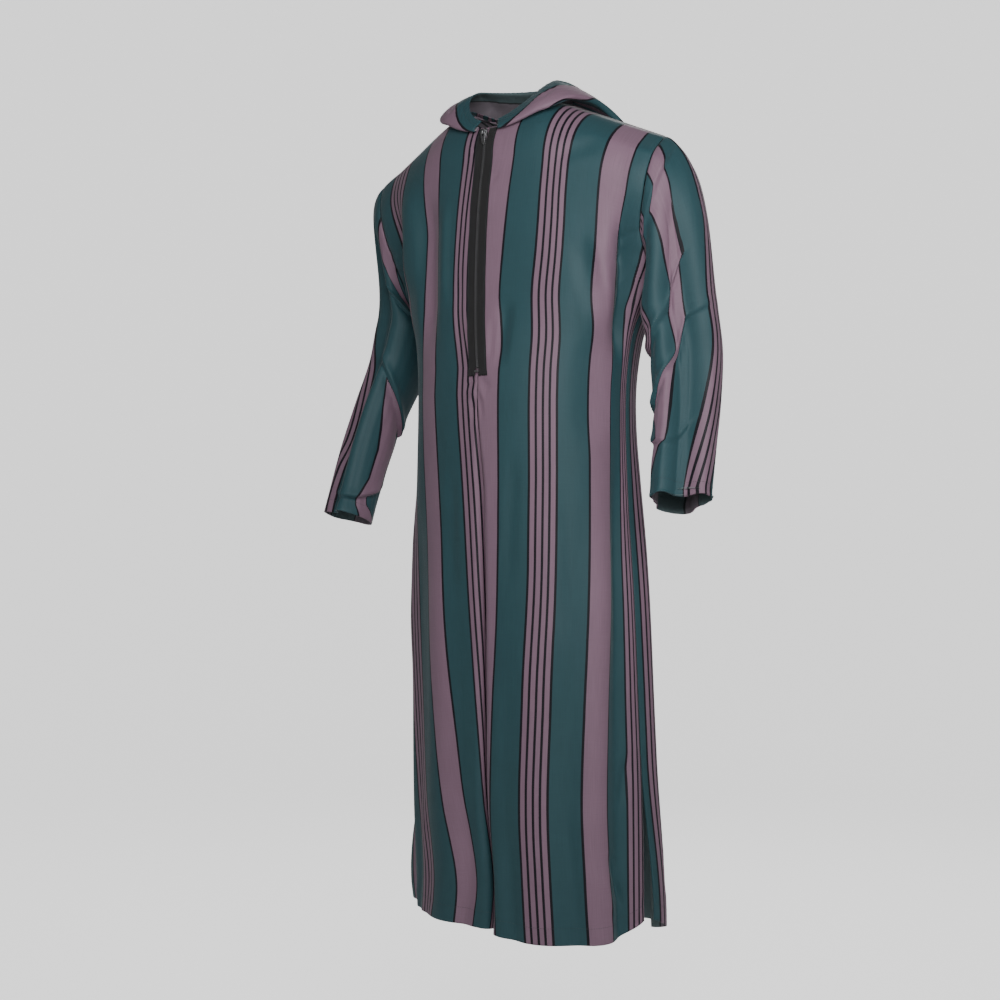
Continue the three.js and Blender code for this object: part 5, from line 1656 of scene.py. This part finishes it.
def prism(name, outline, depth, centre, holes=(), bevel=0.0003):
    """Plate of an outline in X and Z, its thickness along Y, with bevelled edges."""
    curve = bpy.data.curves.new(name + "_outline", "CURVE")
    curve.dimensions = "2D"
    curve.fill_mode = "BOTH"
    curve.extrude = max(depth / 2 - bevel, 1e-5)
    curve.bevel_depth = bevel
    curve.bevel_resolution = 2
    curve.offset = -bevel
    for loop in (outline, *holes):
        spline = curve.splines.new("POLY")
        spline.points.add(len(loop) - 1)
        for point, (x, z) in zip(spline.points, loop):
            point.co = (x, z, 0.0, 1.0)
        spline.use_cyclic_u = True
    flat = link(name + "_outline", curve)
    graph = bpy.context.evaluated_depsgraph_get()
    mesh = bpy.data.meshes.new_from_object(flat.evaluated_get(graph), depsgraph=graph)
    bpy.data.objects.remove(flat)
    x, y, z = centre
    for vertex in mesh.vertices:
        vx, vz, vy = vertex.co
        vertex.co = (x + vx, y - vy, z + vz)
    mesh.name = name
    return mesh


def arc(centre_x, centre_z, radius, start, end, steps):
    turns = np.radians(np.linspace(start, end, steps + 1))
    return [(centre_x + radius * math.cos(a), centre_z + radius * math.sin(a)) for a in turns]


def make_smooth(mesh):
    mesh.polygons.foreach_set("use_smooth", np.ones(len(mesh.polygons), bool))


def metal_piece(name, meshes, node, body):
    """One hardware piece from its parts, closed and facing outward."""
    joined = bmesh.new()
    for part in meshes:
        joined.from_mesh(part)
    bmesh.ops.remove_doubles(joined, verts=joined.verts, dist=1e-6)
    bmesh.ops.recalc_face_normals(joined, faces=joined.faces)
    mesh = bpy.data.meshes.new(name)
    joined.to_mesh(mesh)
    joined.free()
    make_smooth(mesh)
    mesh.set_sharp_from_angle(angle=math.radians(38))
    mesh.materials.append(metal_material())
    obj = link(name, mesh)
    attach(obj, body)
    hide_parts(node)


def half_sizes(low, high):
    return (high.x - low.x) / 2, (high.z - low.z) / 2


def make_slider():
    """Slider: a waisted plate with a raised bridge for the pull tab."""
    low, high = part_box("zip_slider")
    tab_low, tab_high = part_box("zip_pull")
    middle_z = (low.z + high.z) / 2
    half_w, half_h = half_sizes(low, high)
    plate_front = high.y - SLIDER_PLATE
    mirrored = [(-x, z) for x, z in reversed(SLIDER_HALF)]
    outline = [(x * half_w, z * half_h) for x, z in (SLIDER_NOTCH, *SLIDER_HALF, *mirrored)]
    centre = (0, (plate_front + high.y) / 2, middle_z)
    plate = prism("slider_plate", outline[::-1], SLIDER_PLATE, centre, bevel=0.0005)
    bridge = bridge_mesh(plate_front + 0.0004, low.y, middle_z)
    metal_piece("zip_slider_body", [plate, bridge], "zip_slider", "garment")


def tube_faces(rings, sides):
    """Faces between rings of points, each of so many sides, one ring after another."""
    return [(j * sides + i, j * sides + (i + 1) % sides,
             (j + 1) * sides + (i + 1) % sides, (j + 1) * sides + i)
            for j in range(rings - 1) for i in range(sides)]


def bridge_mesh(back_y, front_y, middle_z):
    """Arched loop of flattened wire over the pull tab's bar."""
    thick = BRIDGE_HALF_THICKNESS
    rise = (back_y - front_y) - thick
    turns = np.linspace(0, math.pi, 15)
    path = np.stack([np.zeros_like(turns), back_y - rise * np.sin(turns) ** BRIDGE_ARCH,
                     middle_z + (BRIDGE_HALF_LENGTH - thick) * np.cos(turns)], axis=1)
    tangent = unit(np.gradient(path, axis=0))
    side = np.array([1.0, 0.0, 0.0])
    out = np.cross(tangent, side)
    corners = [path + side * a * BRIDGE_HALF_WIDTH + out * b * thick for a, b in BRIDGE_SECTION]
    rings = np.stack(corners, axis=1)
    count, sides = rings.shape[:2]
    ends = [list(range(sides))[::-1], [(count - 1) * sides + i for i in range(sides)]]
    mesh = bpy.data.meshes.new("slider_bridge")
    mesh.from_pydata(rings.reshape(-1, 3).tolist(), [], tube_faces(count, sides) + ends)
    return mesh


def make_pull():
    """Pull tab: a framed bar at its head, tapering to a rounded foot with a small hole."""
    low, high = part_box("zip_pull")
    half, _ = half_sizes(low, high)
    top = PULL_BAR / 2
    foot_z = top - (high.z - low.z) + PULL_FOOT_RADIUS
    outline = [(-half, top - PULL_CORNER), (-half, PULL_FRAME_END)]
    outline += arc(0, foot_z, PULL_FOOT_RADIUS, 180, 360, 12)
    outline += [(half, PULL_FRAME_END), (half, top - PULL_CORNER), (half - PULL_CORNER, top),
                (-half + PULL_CORNER, top)]
    wide, narrow = PULL_EYE_HALF, PULL_EYE_HALF - PULL_EYE_CORNER
    eye_end = PULL_FRAME_END + PULL_EYE_CORNER
    eye = [(-wide, -top), (wide, -top), (wide, eye_end), (narrow, PULL_FRAME_END),
           (-narrow, PULL_FRAME_END), (-wide, eye_end)]
    hole = arc(0, foot_z + 0.0004, PULL_HOLE_RADIUS, 360, 30, 11)
    centre = (0, (low.y + high.y) / 2, high.z - top)
    plate = prism("pull_plate", outline, high.y - low.y, centre, (eye, hole), bevel=0.00028)
    metal_piece("zip_pull_tab", [plate], "zip_pull", "pull")


def make_stop():
    """Bottom stop: a clamped staple with rounded corners."""
    low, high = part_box("zip_stop")
    half_w, half_h = half_sizes(low, high)
    x, z = half_w - STOP_CORNER, half_h - STOP_CORNER
    corners = ((x, z, 0), (-x, z, 90), (-x, -z, 180), (x, -z, 270))
    outline = [point for x, z, start in corners for point in arc(x, z, STOP_CORNER, start, start + 90, 4)]
    centre = tuple((low + high) / 2)
    plate = prism("stop_plate", outline, high.y - low.y, centre, bevel=0.0004)
    metal_piece("zip_bottom_stop", [plate], "zip_stop", "garment")


def on_grid(grid, j, i):
    """Points between a grid's rows and columns, j down and i across."""
    rows, columns = grid.shape[:2]
    j, i = np.broadcast_arrays(np.clip(j, 0, rows - 1), np.clip(i, 0, columns - 1))
    a, b = np.minimum(j.astype(int), rows - 2), np.minimum(i.astype(int), columns - 2)
    s, t = (j - a)[..., None], (i - b)[..., None]
    return mix(mix(grid[a, b], grid[a, b + 1], t), mix(grid[a + 1, b], grid[a + 1, b + 1], t), s)


def raised(grid, outward, wrapped=False, lift=0.00018):
    return grid + grid_normals(grid, wrapped) * outward * lift


def row_at(uv, depth):
    """Row number at which a panel's flat places reach a depth."""
    return np.interp(depth, -uv[:, uv.shape[1] // 2, 1], np.arange(len(uv)))


def across_grid(grid, row):
    """A line across a grid at one row number."""
    columns = np.arange(grid.shape[1], dtype=float)
    return on_grid(grid, np.full_like(columns, row), columns)


def panel_stitches(grid, uv, outward, slit_columns):
    """Hem stitching of a panel and, up from it, the stitching beside each of its slits."""
    top = raised(grid, outward)
    hem_row = row_at(uv, GARMENT_LENGTH - bpy.context.scene.thobe_cloth.hem)
    rows = np.arange(row_at(uv, SLIT_TOP - 0.012), hem_row)
    slits = [on_grid(top, rows, np.full_like(rows, column)) for column in slit_columns]
    return [across_grid(top, hem_row)[1:-1], *slits]


def stitch_lines():
    """Polylines of all the topstitching, lying on the cloth."""
    reach = PANEL_HALF_WIDTH - bpy.context.scene.thobe_cloth.slit_hem
    lines = []
    for side in (1, -1):
        grid, uv, _ = front_cloth(side)
        column = np.interp(reach, spans(*FRONT_STEPS), np.arange(grid.shape[1]))
        lines += panel_stitches(grid, uv, side, [column])
    grid, uv, _ = back_cloth()
    u = uv[-1, :, 0] - BACK_PHASE
    columns = [np.interp(place, -u, np.arange(grid.shape[1])) for place in (-reach, reach)]
    lines += panel_stitches(grid, uv, 1, columns)
    for side in (1, -1):
        grid, _, _, length = sleeve_cloth(side)
        top = raised(grid, -side, wrapped=True)
        row = np.interp(length[-1] - CUFF_HEM, length, np.arange(len(length)))
        lines.append(across_grid(np.concatenate([top, top[:, :1]], axis=1), row))
    grid, uv, _ = hood_cloth()
    from_rim = uv[..., 0] - HOOD_PHASE
    columns = np.arange(grid.shape[1], dtype=float)
    rows = np.array([np.interp(-HOOD_STITCH_DEPTH, -depth, np.arange(len(grid))) for depth in from_rim.T])
    lines.append(on_grid(raised(grid, -1), rows, columns)[1:-1])
    return lines


def zip_stitch_lines():
    inner = ZIP_CHAIN_HALF + PART_GAP
    h = spans(FRONT_NECK_DROP + 0.004, 0.004, ZIP_END - 0.004)
    s = np.full_like(h, inner + TAPE_STITCH_PLACE * (ZIP_TAPE_WIDTH - inner))
    lines = [front_surface(side, s, h) for side in (1, -1)]
    for line in lines:
        line[:, 1] -= TAPE_LIFT + TAPE_WALL + 0.0002
    return lines


def make_stitches(name, lines, material):
    sizes = bpy.context.scene.thobe_stitching
    made = grown(name, lines, stitch_tree(), {
        "Pitch": sizes.pitch, "Length": sizes.length, "Thread": sizes.thread, "Material": material})
    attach(made, "garment")


def studio_material(name):
    """Floor that looks brighter to the camera than it lights what stands on it."""
    nodes = Finish(name)
    camera = nodes.add("ShaderNodeLightPath").outputs["Is Camera Ray"]
    strength = nodes.math("MULTIPLY_ADD", camera, FLOOR_SEEN - FLOOR_GIVEN, FLOOR_GIVEN)
    colour = rgba(FLOOR_COLOUR)
    return nodes.surface(colour, Roughness=0.9, Emission_Color=colour, Emission_Strength=strength)


def make_backdrop(level):
    """Pale floor that sweeps up into a wall all round."""
    profile = [(0.0, level), (FLOOR_REACH, level)]
    profile += [(FLOOR_REACH + SWEEP_RADIUS * math.sin(a), level + SWEEP_RADIUS * (1 - math.cos(a)))
                for a in np.linspace(0.1, math.pi / 2, 12)]
    profile.append((FLOOR_REACH + SWEEP_RADIUS, level + WALL_TOP))
    turns = np.linspace(0, 2 * math.pi, 65)[:-1]
    points = [(r * math.cos(turn), r * math.sin(turn), z) for r, z in profile for turn in turns]
    mesh = bpy.data.meshes.new("backdrop")
    mesh.from_pydata(points, [], tube_faces(len(profile), len(turns)))
    make_smooth(mesh)
    mesh.materials.append(studio_material("pale_floor"))
    link("backdrop", mesh)


def turned_to(obj, place, aim):
    obj.location = place
    obj.rotation_euler = (Vector(aim) - Vector(place)).to_track_quat("-Z", "Y").to_euler()


def make_lights(settings):
    """Studio lights, placed from the camera's side, and a faint even light all round."""
    sin, cos = math.sin(settings.azimuth), math.cos(settings.azimuth)
    for name, (right, near, up), aim_height, size, share in LIGHTS:
        light = bpy.data.lights.new(name, "AREA")
        light.shape = "RECTANGLE"
        light.size, light.size_y = size
        light.energy = settings.key_power * share
        place = (right * cos + near * sin, right * sin - near * cos, up)
        turned_to(link(name, light), place, (0.0, 0.0, aim_height))
    world = bpy.data.worlds.new("studio")
    world.use_nodes = True
    background = world.node_tree.nodes["Background"]
    background.inputs["Color"].default_value = (1, 1, 1, 1)
    background.inputs["Strength"].default_value = WORLD_LIGHT
    bpy.context.scene.world = world


def make_camera(settings):
    sin, cos = math.sin(settings.azimuth), math.cos(settings.azimuth)
    camera = bpy.data.cameras.new("camera")
    camera.lens = CAMERA_LENS_MM
    camera.sensor_width = 36.0
    camera.clip_end = 50.0
    obj = link("camera", camera)
    place = (sin * settings.distance, -cos * settings.distance, settings.eye_level)
    turned_to(obj, place, (-CAMERA_AIM_LEFT * cos, -CAMERA_AIM_LEFT * sin, CAMERA_AIM_HEIGHT))
    bpy.context.scene.camera = obj


class THOBE_OT_fronts(bpy.types.Operator):
    """Make the two fronts, parted behind the zip and folded together below it"""

    bl_idname = "thobe.fronts"
    bl_label = "Fronts"

    def execute(self, context):
        make_front(1)
        make_front(-1)
        return {"FINISHED"}


class THOBE_OT_back(bpy.types.Operator):
    """Make the back in one piece with its long folds"""

    bl_idname = "thobe.back"
    bl_label = "Back"

    def execute(self, context):
        make_back()
        return {"FINISHED"}


class THOBE_OT_sleeves(bpy.types.Operator):
    """Make both sleeves from the armholes to the cuffs"""

    bl_idname = "thobe.sleeves"
    bl_label = "Sleeves"

    def execute(self, context):
        make_sleeve(1)
        make_sleeve(-1)
        return {"FINISHED"}


class THOBE_OT_hood(bpy.types.Operator):
    """Make the hood, thrown back"""

    bl_idname = "thobe.hood"
    bl_label = "Hood"

    def execute(self, context):
        make_hood()
        return {"FINISHED"}


class THOBE_OT_zip(bpy.types.Operator):
    """Make the zip: tapes, coil, slider, pull tab and bottom stop"""

    bl_idname = "thobe.zip"
    bl_label = "Zip"

    def execute(self, context):
        make_tape(1)
        make_tape(-1)
        make_coil()
        make_slider()
        make_pull()
        make_stop()
        return {"FINISHED"}


class THOBE_OT_stitching(bpy.types.Operator):
    """Make the topstitching of the hems, slits, cuffs, hood and zip"""

    bl_idname = "thobe.stitching"
    bl_label = "Stitching"

    def execute(self, context):
        make_stitches("hem_stitches", stitch_lines(), thread_material())
        make_stitches("zip_stitches", zip_stitch_lines(), thread_material())
        return {"FINISHED"}


class THOBE_OT_stage(bpy.types.Operator):
    """Make the pale floor, the studio lights and the camera"""

    bl_idname = "thobe.stage"
    bl_label = "Stage"

    def execute(self, context):
        settings = context.scene.thobe_stage
        make_backdrop(settings.floor_level)
        make_lights(settings)
        make_camera(settings)
        return {"FINISHED"}


class THOBE_PT_panel(bpy.types.Panel):
    """Sidebar panel with the thobe's sizes and its making"""

    bl_idname = "THOBE_PT_panel"
    bl_label = "Thobe"
    bl_space_type = "VIEW_3D"
    bl_region_type = "UI"
    bl_category = "Thobe"

    def draw(self, context):
        for group in GROUPS:
            settings = getattr(context.scene, group)
            box = self.layout.box()
            for name in settings.bl_rna.properties.keys():
                if name not in ("rna_type", "name"):
                    box.prop(settings, name)
        for operator in OPERATORS:
            self.layout.operator(operator.bl_idname)


GROUPS = {
    "thobe_cloth": ThobeCloth,
    "thobe_stripes": ThobeStripes,
    "thobe_zip": ThobeZip,
    "thobe_stitching": ThobeStitching,
    "thobe_stage": ThobeStage,
}
OPERATORS = (
    THOBE_OT_fronts,
    THOBE_OT_back,
    THOBE_OT_sleeves,
    THOBE_OT_hood,
    THOBE_OT_zip,
    THOBE_OT_stitching,
    THOBE_OT_stage,
)


def register():
    for name, group in GROUPS.items():
        bpy.utils.register_class(group)
        setattr(bpy.types.Scene, name, bpy.props.PointerProperty(type=group))
    for item in (*OPERATORS, THOBE_PT_panel):
        bpy.utils.register_class(item)


def unregister():
    for item in (THOBE_PT_panel, *reversed(OPERATORS)):
        bpy.utils.unregister_class(item)
    for name, group in reversed(GROUPS.items()):
        delattr(bpy.types.Scene, name)
        bpy.utils.unregister_class(group)


def main():
    register()
    bpy.ops.thobe.fronts()
    bpy.ops.thobe.back()
    bpy.ops.thobe.sleeves()
    bpy.ops.thobe.hood()
    bpy.ops.thobe.zip()
    bpy.ops.thobe.stitching()
    bpy.ops.thobe.stage()


if __name__ == "__main__":
    main()
